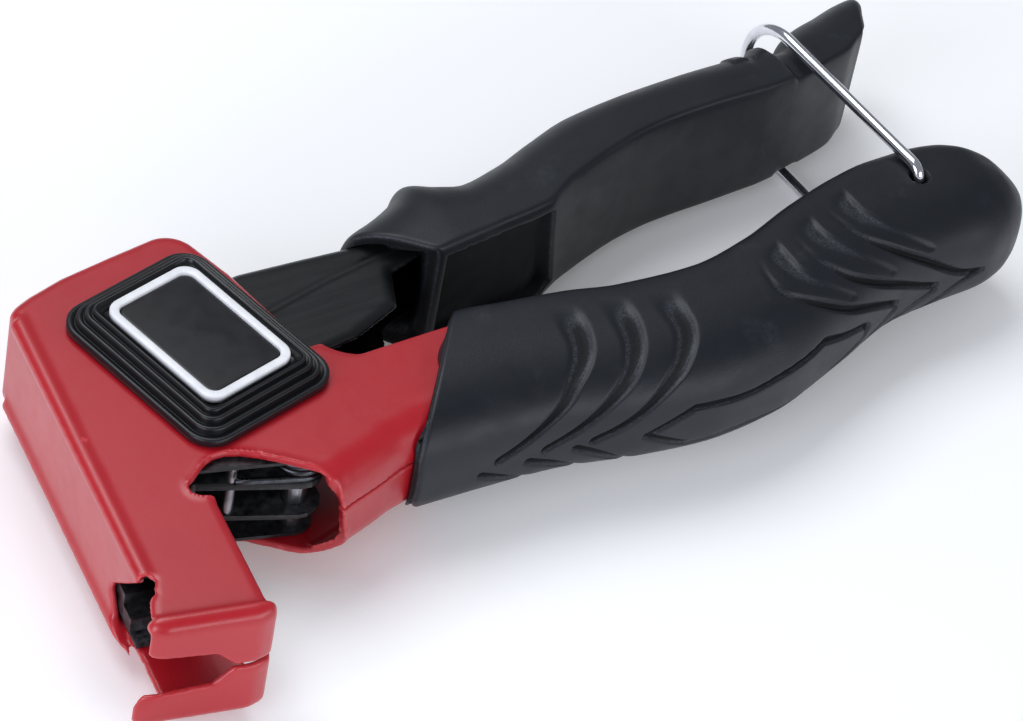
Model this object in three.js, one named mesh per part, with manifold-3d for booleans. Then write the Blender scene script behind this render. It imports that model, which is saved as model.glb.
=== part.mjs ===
// Hand squeeze gun with a folded sheet-steel head, two rubber grips and a wire bail that locks the
// handles shut. Millimetres, +Z up. The tool lies on its flank: X runs from the nose to the handle
// ends, Y from the fixed handle to the moving handle, and Z across the 24.5 mm head.
import * as THREE from "three";
import { mergeVertices } from "three/addons/utils/BufferGeometryUtils.js";
import Module from "manifold-3d";

// Driving dimensions. A list of pairs is a line: X and the height Y there, unless it says otherwise.

// Head
const HEAD_HALF = 12.25; // half the head's width across the flanks
const WALL = 1.5; // sheet thickness of the head
const GAP = 0.3; // running gap between neighbouring pieces
const BEND = 2.5; // outside radius of the folded edges
const COLUMN_TILT = 8.2; // degrees the front wall leans back from the Y axis
const FRONT_TOP = [-93.4, 40]; // a point on the front wall's outside
const COLUMN_DEPTH = 39; // from the puller pin down to where the flanks step out to the nose
const COLUMN_REAR = 10.4; // the flanks' rear edge, across the column from the puller pin
const NOSE_STEP = 1.7; // how far each flank steps out at the nose
const NOSE_DEPTH = 43.8; // from the puller pin down to the front of the nose's end face
const NOSE_ACROSS = [-14.2, 11.2]; // the nose's front and rear, across the column from the puller pin
const NOSE_TURN = 4.3; // degrees the end face falls towards the rear
const WINDOW_FOOT = -31.5; // the front wall stops here at the flanks

// Handle channel inside the fixed grip
const CHANNEL_TOP = [[-66, 3.8], [-12, 3.6], [11, 0.4], [22, -3], [40, -4.6], [54, -2.2], [70, 2.8],
  [82, 5.8], [104, 6.5]];
const CHANNEL_BELLY = [[-66, -26], [-55, -25], [-50, -23.8], [-44, -22.1], [-36, -19.6], [-10, -19.4],
  [16, -22.5], [33, -24.5], [47, -23.5], [67, -17.5], [86, -11.5], [104, -9]];
const CHANNEL_STATIONS = [-55, -50, -44, -36, -12, 0, 11, 22, 33, 40, 54, 70, 86, 104];

// Grips: the flat inner side, the rounded outer side and half the width
const FIXED_TOP = [[-36, 7.6], [-12, 7.6], [-2, 6.8], [11.6, 4.6], [22, 1.8], [40, 0.2], [54, 2.6], [70, 8],
  [82, 11.2], [92, 12.6], [100, 13], [108, 12.3], [114, 9.4], [118, 5.8], [121, 1], [122.6, -3.4]];
const FIXED_BELLY = [[-36, -23.4], [-3, -24.7], [16.6, -28.8], [32.6, -30.7], [46.6, -29.5], [66.6, -23.7],
  [86.6, -17.2], [100, -16], [108, -15.7], [114, -14.2], [118, -12], [121, -9.2], [122.6, -6.6]];
const FIXED_HALF = [[-36, 15.2], [60, 15.3], [80, 14.6], [104, 14.5], [112, 13.9], [117, 12.2], [120, 9.8],
  [122, 7], [122.6, 5]];
const FIXED_STATIONS = [-36, -20, -2, 11.6, 22, 32, 40, 50, 60, 70, 82, 92, 100, 106, 111, 115, 118, 120,
  121.4, 122.6];
const LEVER_FLAT = [[-23, 19.5], [-5, 20.5], [10, 22], [22, 23.4], [27, 26], [31, 28], [36, 29.8], [42, 31.8],
  [50, 34], [60, 35.5], [70, 35.9], [84, 36], [92, 36.6], [100, 38.2], [108, 40.2], [113, 43.2], [125, 50]];
const LEVER_RIDGE = [[-23, 34.8], [-17, 38.8], [-5, 43.4], [0.5, 47], [4, 45.4], [8, 42.8], [13, 41.9],
  [20, 44], [30, 47.6], [42, 51], [60, 52.7], [84, 53.4], [86, 52.2], [88, 52.6], [89.5, 53.9], [91.4, 54.2],
  [92.6, 51.1], [97.4, 51.1], [99.5, 54.2], [105, 57.2], [113, 59.2], [121, 60.8], [125, 60]];
const LEVER_GRIP_HALF = [[-23, 13.5], [-12, 14.6], [0, 15.4], [70, 15.3], [84, 14.4], [91.4, 14.3],
  [92.6, 13.4], [97.4, 13.4], [99.5, 14.2], [113, 14.2], [125, 13.4]];
const LEVER_STATIONS = [-23, -17, -5, 0.5, 4, 8, 13, 22, 27, 31, 36, 42, 50, 60, 70, 84, 86, 89.5, 91.4, 92.6,
  97.4, 99.5, 105, 110, 114, 119, 125];

// Lever and its pivot
const LEVER_PIVOT = [-63.5, 17.5];
const PIVOT_RADIUS = 4;
const PIVOT_BUSH_RADIUS = 5.5;
const LEVER_HALF = 9.2; // half the lever channel's width
const LEVER_WALL = 1.6;
const CORE_RIDGE = [[-51, 36.6], [-44, 37.3], [-30, 36], [-19, 35], [0, 38.6], [10, 38.8], [20, 40.6],
  [30, 43.8], [42, 47.8], [60, 49.5], [88, 49.8], [90, 48.2], [106, 48.4]];
const CORE_FOOT = [[-30, 20], [-5, 26.5], [27.5, 30], [31, 33], [42, 39.5], [50, 42.4], [60, 43.6],
  [90, 44.2], [106, 44.4]];

// Draw arm, puller and return spring
const ARM_PIVOT = [-57, -12];
const ARM_PIN_RADIUS = 2.5;
const ARM_HALF = 5.2;
const ARM_PLATE = 1.6;
const LIFT_PIN = [-84, 8]; // the lever's pin in the arm's upper slot
const LIFT_PIN_RADIUS = 2;
const PULLER_PIN = [-88, -4];
const PULLER_PIN_RADIUS = 1.5;
const PULLER_LENGTH = 24; // from the puller pin down to the claw's end
const SPRING_PIN = [-71, -10.2]; // where the return spring pushes on the draw arm
const SPRING_PIN_RADIUS = 1.2;

// Badge
const BADGE_PLACE = [-64.3, 16.65];
const BADGE_SIZE = [35, 45];
const BADGE_HEIGHT = 6;
const BADGE_TURN = 12.7; // degrees
const BADGE_STEPS = [[0, 2.1], [1.6, 3.5], [3.1, 4.8], [4.5, 5.8]]; // inset and height
const LINE_SIZE = [22.4, 32.2]; // the raised line round the badge's panel
const LINE_WIDTH = 1.8;
const LINE_DEPTH = 0.8;

// Bail
const BAIL_PIVOT = [98.5, 0.9];
const BAIL_REACH = 56.8; // from the bail pivot to the middle of its bar
const BAIL_LEAN = 3.6; // how far the bar stands forward of the pivot
const BAIL_HALF = 16; // half the distance between the two legs
const BAIL_CORNER = 11.5;
const BAIL_HOOK = 7; // length of each inward hook
const WIRE_RADIUS = 1.25;
const BAIL_BUSH_RADIUS = 2.2;

const wasm = await Module();
wasm.setup();

// Solids

function solid(geometry) {
  const bare = geometry.index ? geometry.toNonIndexed() : geometry.clone();
  bare.deleteAttribute("normal");
  bare.deleteAttribute("uv");
  const merged = mergeVertices(bare, 1e-4);
  const vertProperties = merged.attributes.position.array;
  const corners = new Uint32Array(merged.index.array);
  const facing = (triVerts) => new wasm.Manifold(new wasm.Mesh({ numProp: 3, vertProperties, triVerts }));
  const made = facing(corners);
  return made.volume() > 0 ? made : facing(corners.reverse());
}

function geometryOf(manifold) {
  const mesh = manifold.getMesh();
  const geometry = new THREE.BufferGeometry();
  const positions = new Float32Array(mesh.vertProperties);
  geometry.setAttribute("position", new THREE.BufferAttribute(positions, 3));
  geometry.setIndex(new THREE.BufferAttribute(new Uint32Array(mesh.triVerts), 1));
  geometry.computeVertexNormals();
  return geometry;
}

function shapeOf(points) {
  return new THREE.Shape(points.map(([x, y]) => new THREE.Vector2(x, y)));
}

// A flat outline given thickness from low to high along Z, its long edges rounded by bevel.
function slab(points, low, high, bevel = 0) {
  const geometry = new THREE.ExtrudeGeometry(shapeOf(points), {
    depth: high - low - 2 * bevel,
    bevelEnabled: bevel > 0,
    bevelThickness: bevel,
    bevelSize: bevel,
    bevelOffset: -bevel,
    bevelSegments: 3,
    curveSegments: 8,
  });
  geometry.translate(0, 0, low + bevel);
  return solid(geometry);
}

function rod([x, y], radius, low, high, sides = 24) {
  const geometry = new THREE.CylinderGeometry(radius, radius, high - low, sides);
  geometry.rotateX(Math.PI / 2);
  geometry.translate(x, y, (low + high) / 2);
  return solid(geometry);
}

function box(low, high) {
  const size = high.map((value, i) => value - low[i]);
  const geometry = new THREE.BoxGeometry(...size);
  geometry.translate(...high.map((value, i) => (value + low[i]) / 2));
  return solid(geometry);
}

// A skin over closed rings of equal length, with a fan over each end ring.
function loft(rings) {
  const count = rings[0].length;
  const positions = rings.flat(2);
  const faces = [];
  for (let i = 0; i + 1 < rings.length; i++) {
    for (let j = 0; j < count; j++) {
      const a = i * count + j;
      const b = i * count + ((j + 1) % count);
      faces.push(a, b, a + count, b, b + count, a + count);
    }
  }
  for (const [start, flip] of [[0, true], [(rings.length - 1) * count, false]]) {
    for (let j = 1; j + 1 < count; j++) {
      const pair = flip ? [start + j + 1, start + j] : [start + j, start + j + 1];
      faces.push(start, ...pair);
    }
  }
  const geometry = new THREE.BufferGeometry();
  geometry.setAttribute("position", new THREE.Float32BufferAttribute(positions, 3));
  geometry.setIndex(faces);
  return solid(geometry);
}

// Points on an arc, angles in degrees.
function arc([x, y], radius, from, to, steps) {
  return Array.from({ length: steps + 1 }, (_, i) => {
    const angle = THREE.MathUtils.degToRad(from + ((to - from) * i) / steps);
    return [x + radius * Math.cos(angle), y + radius * Math.sin(angle)];
  });
}

// A rounded rectangle centred on the origin.
function roundedBox(width, height, radius, steps = 5) {
  const x = width / 2 - radius;
  const y = height / 2 - radius;
  return [
    ...arc([x, y], radius, 0, 90, steps),
    ...arc([-x, y], radius, 90, 180, steps),
    ...arc([-x, -y], radius, 180, 270, steps),
    ...arc([x, -y], radius, 270, 360, steps),
  ];
}

function piecewise(points, x) {
  const last = points[points.length - 1];
  if (x <= points[0][0]) return points[0][1];
  if (x >= last[0]) return last[1];
  const next = points.findIndex((point) => point[0] > x);
  const [x0, y0] = points[next - 1];
  const [x1, y1] = points[next];
  return y0 + ((y1 - y0) * (x - x0)) / (x1 - x0);
}

// Head and nose

// The front wall's line: the X of the wall's outside at a height Y.
const frontX = (y) => FRONT_TOP[0] + (y - FRONT_TOP[1]) * Math.tan(THREE.MathUtils.degToRad(COLUMN_TILT));

function headOutline(inset) {
  const frontCorner = arc([-88, 38], 5.4 - inset, 175, 105, 4);
  const crown = arc([-56.4, 42.4], 7 - inset, 103, 12, 6);
  return [
    [frontX(36) + inset, 36],
    ...frontCorner,
    [-78.8, 46.4 - inset],
    [-67, 48.1 - inset],
    ...crown,
    [-46.8 - inset, 34],
    [-42.3 - inset, 9.5],
    [-40, 6.6 - inset],
    [-36, 5 - inset],
    [-28, 4 - inset],
    [-28, -13 + inset],
    [-79.2 - inset, -17 + inset],
    columnPoint(COLUMN_DEPTH, COLUMN_REAR - inset),
    [frontX(-41) + inset, columnPoint(COLUMN_DEPTH, -12)[1]],
  ];
}

// The handle channel's section across X: flat flanks, a rounded belly, open at the top.
function channelRing(x, top, belly, half, radius, steps = 5) {
  const turn = arc([half - radius, belly + radius], radius, 0, -90, steps);
  const right = turn.map(([z, y]) => [x, y, z]);
  const left = turn.map(([z, y]) => [x, y, -z]).reverse();
  return [[x, top, half], ...right, ...left, [x, top, -half]];
}

const channelHalf = (x) => piecewise([[-12, HEAD_HALF], [0, 10.6], [104, 9.6]], x);

function channel(inset, first, last, rise) {
  const stations = CHANNEL_STATIONS.filter((x) => x > first && x < last);
  return loft([first, ...stations, last].map((x) => channelRing(
    x,
    piecewise(CHANNEL_TOP, x) + rise,
    piecewise(CHANNEL_BELLY, x) + inset,
    channelHalf(x) - inset,
    8 - inset,
  )));
}

// The opening between column and handle, cut through both flanks.
function notch() {
  return slab([
    [-79.2, -18], ...arc([-81.2, -15.2], 2.2, 250, 100, 5), [-79.6, -11.9], [-75.5, -10.6], [-71, -11.5],
    [-66.7, -14], [-62.8, -17.6], [-59.6, -20.6], [-56, -22.2], [-51.6, -24.8], [-51.6, -40],
    columnPoint(COLUMN_DEPTH + 2, COLUMN_REAR),
  ], -20, 20);
}

// A profile across the nose in Y and Z, drawn along X.
function drawnAlongX(profile, low, high) {
  const geometry = new THREE.ExtrudeGeometry(shapeOf(profile), {
    depth: high - low,
    bevelEnabled: false,
  });
  // The shape's x is Z here and its y is Y.
  geometry.rotateY(Math.PI / 2);
  geometry.translate(low, 0, 0);
  return solid(geometry);
}

// Moves a solid from column coordinates, X across and -Y down from the puller pin, into place. The
// nose is first turned about the front of its end face.
function inColumn(shape) {
  const [front] = NOSE_ACROSS;
  return shape
    .translate([-front, NOSE_DEPTH, 0]).rotate([0, 0, -NOSE_TURN]).translate([front, -NOSE_DEPTH, 0])
    .rotate([0, 0, -COLUMN_TILT]).translate([...PULLER_PIN, 0]);
}

// The nose's section across the tool: a collar on the flanks, a slope out at start, then down to end
// with its two corners rounded.
function noseSection(half, shoulder, start, end, radius) {
  const collar = 5.8 - start;
  return [
    [-shoulder, collar], [-shoulder, -start], [-half, -start - half + shoulder],
    ...arc([-half + radius, -end + radius], radius, 180, 270, 4),
    ...arc([half - radius, -end + radius], radius, 270, 360, 4),
    [half, -start - half + shoulder], [shoulder, -start], [shoulder, collar],
  ];
}

// Steps the flanks out over a short slope, then closes them over the end with two lips.
function nose() {
  const [front, rear] = NOSE_ACROSS;
  const half = HEAD_HALF + NOSE_STEP;
  const section = noseSection(half, HEAD_HALF, NOSE_DEPTH - 4.8, NOSE_DEPTH, 2.9);
  const side = slab([
    ...arc([front + 2.5, 2.5 - NOSE_DEPTH], 2.5, 180, 270, 4),
    ...arc([rear - 4, 4 - NOSE_DEPTH], 4, 270, 360, 4),
    [rear, 7 - NOSE_DEPTH], [rear - 1.6, 9 - NOSE_DEPTH], [-8, 14 - NOSE_DEPTH], [-9.4, 12 - NOSE_DEPTH],
    [-12.6, 7.5 - NOSE_DEPTH],
  ], -20, 20);
  return inColumn(drawnAlongX(section, front, rear + 2).intersect(side));
}

function noseHollow() {
  const [front, rear] = NOSE_ACROSS;
  const half = HEAD_HALF - WALL;
  return inColumn(drawnAlongX(noseSection(half, half, 28, NOSE_DEPTH - WALL, 2), front - 5, rear + 5));
}

// The slot between the lips: wide at the front, then narrowing to a slit.
function noseSlot() {
  const [front] = NOSE_ACROSS;
  return inColumn(drawnUp([
    [front - 4, -5.2], [front + 3, -5], [front + 14, -4.1], [front + 17.5, -0.5], [20, -0.5],
    [20, 0.5], [front + 17.5, 0.5], [front + 14, 4.1], [front + 3, 5], [front - 4, 5.2],
  ], -NOSE_DEPTH - 8, -NOSE_DEPTH + 4));
}

// A plan outline in X and Z, drawn along Y.
function drawnUp(outline, low, high) {
  const shape = shapeOf(outline.map(([x, z]) => [x, -z]));
  const geometry = new THREE.ExtrudeGeometry(shape, { depth: high - low, bevelEnabled: false });
  geometry.rotateX(-Math.PI / 2);
  geometry.translate(0, low, 0);
  return solid(geometry);
}

// The arch over the puller in the front wall, higher towards the far flank.
function frontWindow() {
  const arch = [
    [-20, -60], [20, -60], [20, 0], [12.3, 0], [11.8, 6], [9.4, 9.7], [4.6, 12.8], [2.2, 12.3],
    [-4, 6], [-9.5, 1], [-11, 0], [-20, 0],
  ];
  return drawnAlongX(arch.map(([z, rise]) => [z, rise + WINDOW_FOOT]), -120, -101.6);
}

function bodyShell() {
  const outside = slab(headOutline(0), -HEAD_HALF, HEAD_HALF, BEND)
    .add(channel(0, -66, 104, 0));
  const inside = slab(headOutline(WALL), -HEAD_HALF + WALL, HEAD_HALF - WALL)
    .add(channel(WALL, -67, 102.5, 5));
  const mouth = slab([[-56.5, 44], [-56.5, 30], [-50, 6], [-28, 1], [-20, 1], [-20, 60], [-45, 60]],
    -HEAD_HALF + WALL, HEAD_HALF - WALL);
  const back = slab([[-86, -5], [-57, -5], [-57, -30], [-70, -47], [-90, -47]],
    -HEAD_HALF + WALL, HEAD_HALF - WALL);
  const holes = [[LEVER_PIVOT, PIVOT_RADIUS + 0.05], [BAIL_PIVOT, WIRE_RADIUS + 0.3]];
  let shell = outside.subtract(inside).subtract(mouth).subtract(back).subtract(frontWindow());
  shell = shell.add(nose()).subtract(noseHollow()).subtract(noseSlot()).subtract(notch());
  for (const [place, radius] of holes) {
    shell = shell.subtract(rod(place, radius, -20, 20));
  }
  return shell;
}

// Grips

// A grip section across X: a half-round outer side and a flatter inner side. The smaller the square
// value, the squarer the inner side's edges.
function gripRing(x, flat, ridge, half, shoulder, square, steps = 10) {
  const middle = flat + (ridge - flat) * shoulder;
  const ring = [];
  for (let i = 0; i < 2 * steps; i++) {
    const angle = (Math.PI * i) / steps;
    const reach = Math.sin(angle);
    const power = reach < 0 ? square : 0.95;
    const spread = reach < 0 ? Math.min(0.75, square * 1.9) : 0.75;
    const side = Math.sign(Math.cos(angle)) * Math.abs(Math.cos(angle)) ** spread;
    const edge = reach < 0 ? flat : ridge;
    ring.push([x, middle + (edge - middle) * Math.abs(reach) ** power, half * side]);
  }
  return ring;
}

function fixedGrip() {
  const body = loft(FIXED_STATIONS.map((x) => gripRing(
    x,
    piecewise(FIXED_TOP, x),
    piecewise(FIXED_BELLY, x),
    piecewise(FIXED_HALF, x),
    0.36,
    0.4,
  )));
  const front = slab([[-50, -40], [-35.5, -22], [-12.2, 6.8], [-10, 20], [-50, 20]], -20, 20);
  const channelRoom = channel(-GAP, -38, 104 + GAP, 12);
  const roof = roofOver(FIXED_TOP, 2.5, -6);
  const room = channelRoom.subtract(roof);
  const bushRoom = BAIL_BUSH_RADIUS + GAP;
  const bores = rod(BAIL_PIVOT, bushRoom, 8.9, 20).add(rod(BAIL_PIVOT, bushRoom, -20, -8.9));
  return body.subtract(front).subtract(room).subtract(bores);
}

// Everything above a line that runs depth under the grip's flat side, from first onwards.
function roofOver(line, depth, first) {
  const under = line.filter(([x]) => x > first).map(([x, y]) => [x, y - depth]);
  const start = [first, piecewise(line, first) - depth];
  return slab([start, ...under, [130, 40], [first, 40]], -20, 20);
}

function leverGrip() {
  const body = loft(LEVER_STATIONS.map((x) => gripRing(
    x,
    piecewise(LEVER_FLAT, x),
    piecewise(LEVER_RIDGE, x),
    piecewise(LEVER_GRIP_HALF, x),
    0.3,
    0.18,
  )));
  const front = slab([[-30, 10], [-6.6, 10], [-6.6, 20.5], [-20.4, 33], [-22, 60], [-30, 60]], -20, 20);
  const end = slab([[113.3, 38], [116, 45], [125.6, 63], [130, 63], [130, 38]], -20, 20);
  const guard = slab([[-30, 15], [-30, 23.2], [-5, 23.9], [10, 25], [25.8, 26.6], [26.6, 15]], -11.8, 11.8);
  return body.subtract(front).subtract(end).subtract(guard).subtract(leverCore(-GAP));
}

// Lever

// The strip of lever that runs through the grip, outside faces moved in by inset.
function leverCore(inset) {
  const ridge = CORE_RIDGE.map(([x, y]) => [x, y - inset]);
  const foot = CORE_FOOT.map(([x, y]) => [x, y + inset]).reverse();
  return slab([...ridge, [106 - inset, 47], ...foot], -LEVER_HALF + inset, LEVER_HALF - inset);
}

function leverChannel() {
  const [x, y] = LEVER_PIVOT;
  const outline = [
    ...arc(LIFT_PIN, 5, 110, 290, 7),
    ...arc([x, y], 9.5, 240, 290, 3),
    [-46, 8.5], [-30, 10.5], [-18, 15], [-14, 23.8], ...CORE_FOOT.slice(1), ...[...CORE_RIDGE].reverse().slice(0, -1),
    [-52, 35], [-60, 31], ...arc([x, y], 11, 100, 150, 3),
  ];
  const outside = slab(outline, -LEVER_HALF, LEVER_HALF, 1);
  const ridge = CORE_RIDGE.map(([px, py]) => [px, py - LEVER_WALL]);
  const under = slab([
    [-100, -20], [110, -20], [110, 47 - LEVER_WALL], [104, 47 - LEVER_WALL],
    ...[...ridge].reverse().slice(1), [-52, 29], [-62, 24], [-100, 24],
  ], -LEVER_HALF + LEVER_WALL, LEVER_HALF - LEVER_WALL);
  return outside.subtract(under)
    .subtract(rod(LEVER_PIVOT, PIVOT_BUSH_RADIUS + 0.1, -20, 20))
    .subtract(rod(LIFT_PIN, LIFT_PIN_RADIUS + 0.1, -20, 20));
}

function tube(place, outer, inner, low, high) {
  return rod(place, outer, low, high).subtract(rod(place, inner, low - 1, high + 1));
}

// A round pin with a groove near each end for its retaining ring.
function groovedPin(place, radius, half, groove) {
  let pin = rod(place, radius, -half, half);
  for (const side of [-1, 1]) {
    const low = Math.min(side * groove, side * (groove + 0.8));
    pin = pin.subtract(tube(place, radius + 1, radius - 0.7, low, low + 0.8));
  }
  return pin;
}

// An open ring that snaps into a pin's groove.
function retainingRing([x, y], inner, outer, low, high) {
  const slot = box([x, y - inner * 0.7, low - 1], [x + outer + 1, y + inner * 0.7, high + 1]);
  return tube([x, y], outer, inner, low, high).subtract(slot);
}

// Draw arm, puller and their pins

function drawArm() {
  const [qx, qy] = ARM_PIVOT;
  const [px, py] = PULLER_PIN;
  const [lx, ly] = LIFT_PIN;
  const outline = [
    ...arc([qx, qy], 5.2, -110, 70, 8),
    [-72, -1.6], [-76, 4], [-77.5, 12.2], [-91.8, 12.2], [-92.6, 3], [px - 4, py + 1.5],
    ...arc([px, py], 4, 150, 280, 5), [-78, -9],
  ];
  const outside = slab(outline, -ARM_HALF, ARM_HALF, 0.6);
  const between = slab([
    [-51, -22], [-51, -4.6], [-56, -7.2], [-73, -3.4], [-77.6, 3.4], [-78, 20], [-100, 20], [-100, -22],
  ], -ARM_HALF + ARM_PLATE, ARM_HALF - ARM_PLATE);
  const liftSlot = slab(roundedBox(10.8, 5.8, 2.8).map(([x, y]) => [x + lx - 2.4, y + ly + 0.1]), -20, 20);
  const pinSlot = slab(roundedBox(4.6, 3.8, 1.8).map(([x, y]) => [x + px - 0.45, y + py]), -20, 20);
  return outside.subtract(between).subtract(liftSlot).subtract(pinSlot)
    .subtract(rod(ARM_PIVOT, ARM_PIN_RADIUS + 0.1, -20, 20))
    .subtract(rod(SPRING_PIN, SPRING_PIN_RADIUS + 0.02, -20, 20));
}

// Along the column: a distance down from the puller pin, and a distance across.
function columnPoint(down, across) {
  const tilt = THREE.MathUtils.degToRad(COLUMN_TILT);
  const [x, y] = PULLER_PIN;
  return [
    x - down * Math.sin(tilt) + across * Math.cos(tilt),
    y - down * Math.cos(tilt) - across * Math.sin(tilt),
  ];
}

function columnSlab(points, low, high, bevel = 0) {
  return slab(points.map(([down, across]) => columnPoint(down, across)), low, high, bevel);
}

function pullerBlock() {
  const neck = 9;
  const body = columnSlab([[-5, -4], [-5, 4], [neck, 4], [neck + 3, 7], [PULLER_LENGTH, 7],
    [PULLER_LENGTH, -9.2], [neck + 3, -9.2], [neck, -4]], -9.3, 9.3, 0.6);
  const shank = columnSlab([[-6, -9], [-6, 9], [neck + 1, 9], [neck + 1, -9]], -20, 20)
    .subtract(columnSlab([[-7, -10], [-7, 10], [neck + 2, 10], [neck + 2, -10]], -3.2, 3.2));
  const claw = columnSlab([[14, -20], [14, -1], [18, 2], [34, 2], [34, -20]], -2.6, 2.6);
  const throat = columnSlab([[PULLER_LENGTH - 4, -20], [PULLER_LENGTH - 4, -3], [PULLER_LENGTH + 2, 0],
    [PULLER_LENGTH + 2, -20]], -5.5, 5.5);
  return body.subtract(shank).subtract(claw).subtract(throat)
    .subtract(rod(PULLER_PIN, PULLER_PIN_RADIUS + 0.05, -20, 20));
}

// A thin steel plate inside the flank that guides the puller and carries the end of the arm pin.
function sidePlate() {
  const column = columnSlab([[-6, -8.8], [-6, 7.5], [27, 7.5], [27, -8.8]], 9.65, 10.45);
  const bridge = slab([[-86, -8], ...arc(ARM_PIVOT, 4.2, -100, 80, 8), [-70, 2], [-86, 2]], 9.65, 10.45);
  return column.add(bridge).subtract(rod(ARM_PIVOT, ARM_PIN_RADIUS + 0.05, 0, 20));
}

// Torsion spring: a close coil about the arm pin with two straight legs.
function returnSpring() {
  const [x, y] = ARM_PIVOT;
  const wire = 0.7;
  const radius = 5;
  const low = 5.7;
  const width = 3.4;
  const coils = tube([x, y], radius + wire, radius - wire, low, low + width);
  const leg = (length, angle, turn) => {
    const geometry = new THREE.CylinderGeometry(wire, wire, length, 10);
    geometry.translate(0, length / 2, 0);
    geometry.rotateZ(THREE.MathUtils.degToRad(angle - 90));
    const start = THREE.MathUtils.degToRad(angle + turn);
    geometry.translate(x + radius * Math.cos(start), y + radius * Math.sin(start), low + width / 2);
    return solid(geometry);
  };
  return coils.add(leg(16, 6, -90)).add(leg(14, 161, 90));
}

// Badge

function onBadge(points) {
  const turn = THREE.MathUtils.degToRad(BADGE_TURN);
  return points.map(([x, y]) => [
    BADGE_PLACE[0] + x * Math.cos(turn) - y * Math.sin(turn),
    BADGE_PLACE[1] + x * Math.sin(turn) + y * Math.cos(turn),
  ]);
}

// Each cover is drawn for the +Z side and mirrored to the other by its mesh.
function badgeCover() {
  const [width, height] = BADGE_SIZE;
  const base = HEAD_HALF + 0.1;
  let cover = slab(onBadge(roundedBox(width, height, 6)), base, base + 1);
  for (const [inset, top] of BADGE_STEPS) {
    const outline = roundedBox(width - 2 * inset, height - 2 * inset, 6 - inset * 0.8);
    cover = cover.add(slab(onBadge(outline), base, HEAD_HALF + top, 0.5));
  }
  const hollow = onBadge(roundedBox(20, 28, 4));
  const face = HEAD_HALF + BADGE_HEIGHT;
  return cover.subtract(badgeRing(0.1, LINE_DEPTH + 0.1))
    .subtract(slab(onBadge(panelOutline(0)), face - 1.6, face + 1))
    .subtract(slab(hollow, HEAD_HALF - 1, HEAD_HALF + 3.2));
}

// The field inside the raised line, its edge moved in by room.
function panelOutline(room) {
  const across = 2 * (LINE_WIDTH + room);
  return roundedBox(LINE_SIZE[0] - across, LINE_SIZE[1] - across, 1.4);
}

function badgePanel() {
  const face = HEAD_HALF + BADGE_HEIGHT;
  return slab(onBadge(panelOutline(GAP)), face - 1.5, face - 0.6);
}

function badgeRing(room, depth) {
  const [width, height] = LINE_SIZE;
  const top = HEAD_HALF + BADGE_HEIGHT;
  const outer = onBadge(roundedBox(width + 2 * room, height + 2 * room, 3 + room));
  return slab(outer, top - depth, top).subtract(slab(onBadge(panelOutline(0)), top - depth - 1, top + 1));
}

// Bail

function latchBail() {
  const [x, y] = BAIL_PIVOT;
  const foot = new THREE.CurvePath();
  const lean = Math.atan2(-BAIL_LEAN, BAIL_REACH);
  const at = (up, z) => new THREE.Vector3(x + up * Math.sin(lean), y + up * Math.cos(lean), z);
  const bend = 3;
  const corner = (from, over, to) => foot.add(new THREE.QuadraticBezierCurve3(from, over, to));
  const line = (from, to) => foot.add(new THREE.LineCurve3(from, to));
  const straight = BAIL_REACH - BAIL_CORNER;
  const side = BAIL_HALF - BAIL_CORNER;
  line(at(0, BAIL_HALF - BAIL_HOOK), at(0, BAIL_HALF - bend));
  corner(at(0, BAIL_HALF - bend), at(0, BAIL_HALF), at(bend, BAIL_HALF));
  line(at(bend, BAIL_HALF), at(straight, BAIL_HALF));
  for (const [from, to] of [[0, 45], [45, 90]]) foot.add(cornerArc(at, straight, side, from, to));
  line(at(BAIL_REACH, side), at(BAIL_REACH, -side));
  for (const [from, to] of [[90, 135], [135, 180]]) foot.add(cornerArc(at, straight, -side, from, to));
  line(at(straight, -BAIL_HALF), at(bend, -BAIL_HALF));
  corner(at(bend, -BAIL_HALF), at(0, -BAIL_HALF), at(0, -BAIL_HALF + bend));
  line(at(0, -BAIL_HALF + bend), at(0, -BAIL_HALF + BAIL_HOOK));
  const section = arc([0, 0], WIRE_RADIUS, 0, 360, 10).slice(0, -1);
  const geometry = new THREE.ExtrudeGeometry(shapeOf(section), {
    steps: 84,
    bevelEnabled: false,
    extrudePath: foot,
  });
  return solid(geometry);
}

// One eighth of a turn of the bail's rounded corner, as a single curve.
function cornerArc(at, straight, side, from, to) {
  const radians = THREE.MathUtils.degToRad;
  const point = (angle) => at(
    straight + BAIL_CORNER * Math.sin(radians(angle)),
    side + BAIL_CORNER * Math.cos(radians(angle)),
  );
  const half = radians((to - from) / 2);
  const middle = radians((from + to) / 2);
  const over = at(
    straight + (BAIL_CORNER / Math.cos(half)) * Math.sin(middle),
    side + (BAIL_CORNER / Math.cos(half)) * Math.cos(middle),
  );
  return new THREE.QuadraticBezierCurve3(point(from), over, point(to));
}

// Assembly

const PAINT = { color: 0xb2202a, roughness: 0.4, metalness: 0 };
const RUBBER = { color: 0x20242a, roughness: 0.6, metalness: 0 };
const PLASTIC = { color: 0x16181b, roughness: 0.35, metalness: 0 };
const WHITE = { color: 0xf2f2f2, roughness: 0.4, metalness: 0 };
const BLACK_STEEL = { color: 0x17181a, roughness: 0.4, metalness: 0.3 };
const ZINC = { color: 0xb9bcc0, roughness: 0.35, metalness: 1 };
const CHROME = { color: 0xd8dade, roughness: 0.12, metalness: 1 };

const tool = new THREE.Group();

function place(name, shape, look) {
  const mesh = new THREE.Mesh(geometryOf(shape), new THREE.MeshStandardMaterial(look));
  mesh.name = name;
  tool.add(mesh);
  return mesh;
}

// The same shape on both flanks, the far one turned over by a mirroring scale.
function placePair(name, shape, look) {
  place(`${name}_near`, shape, look);
  place(`${name}_far`, shape, look).scale.z = -1;
}

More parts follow.
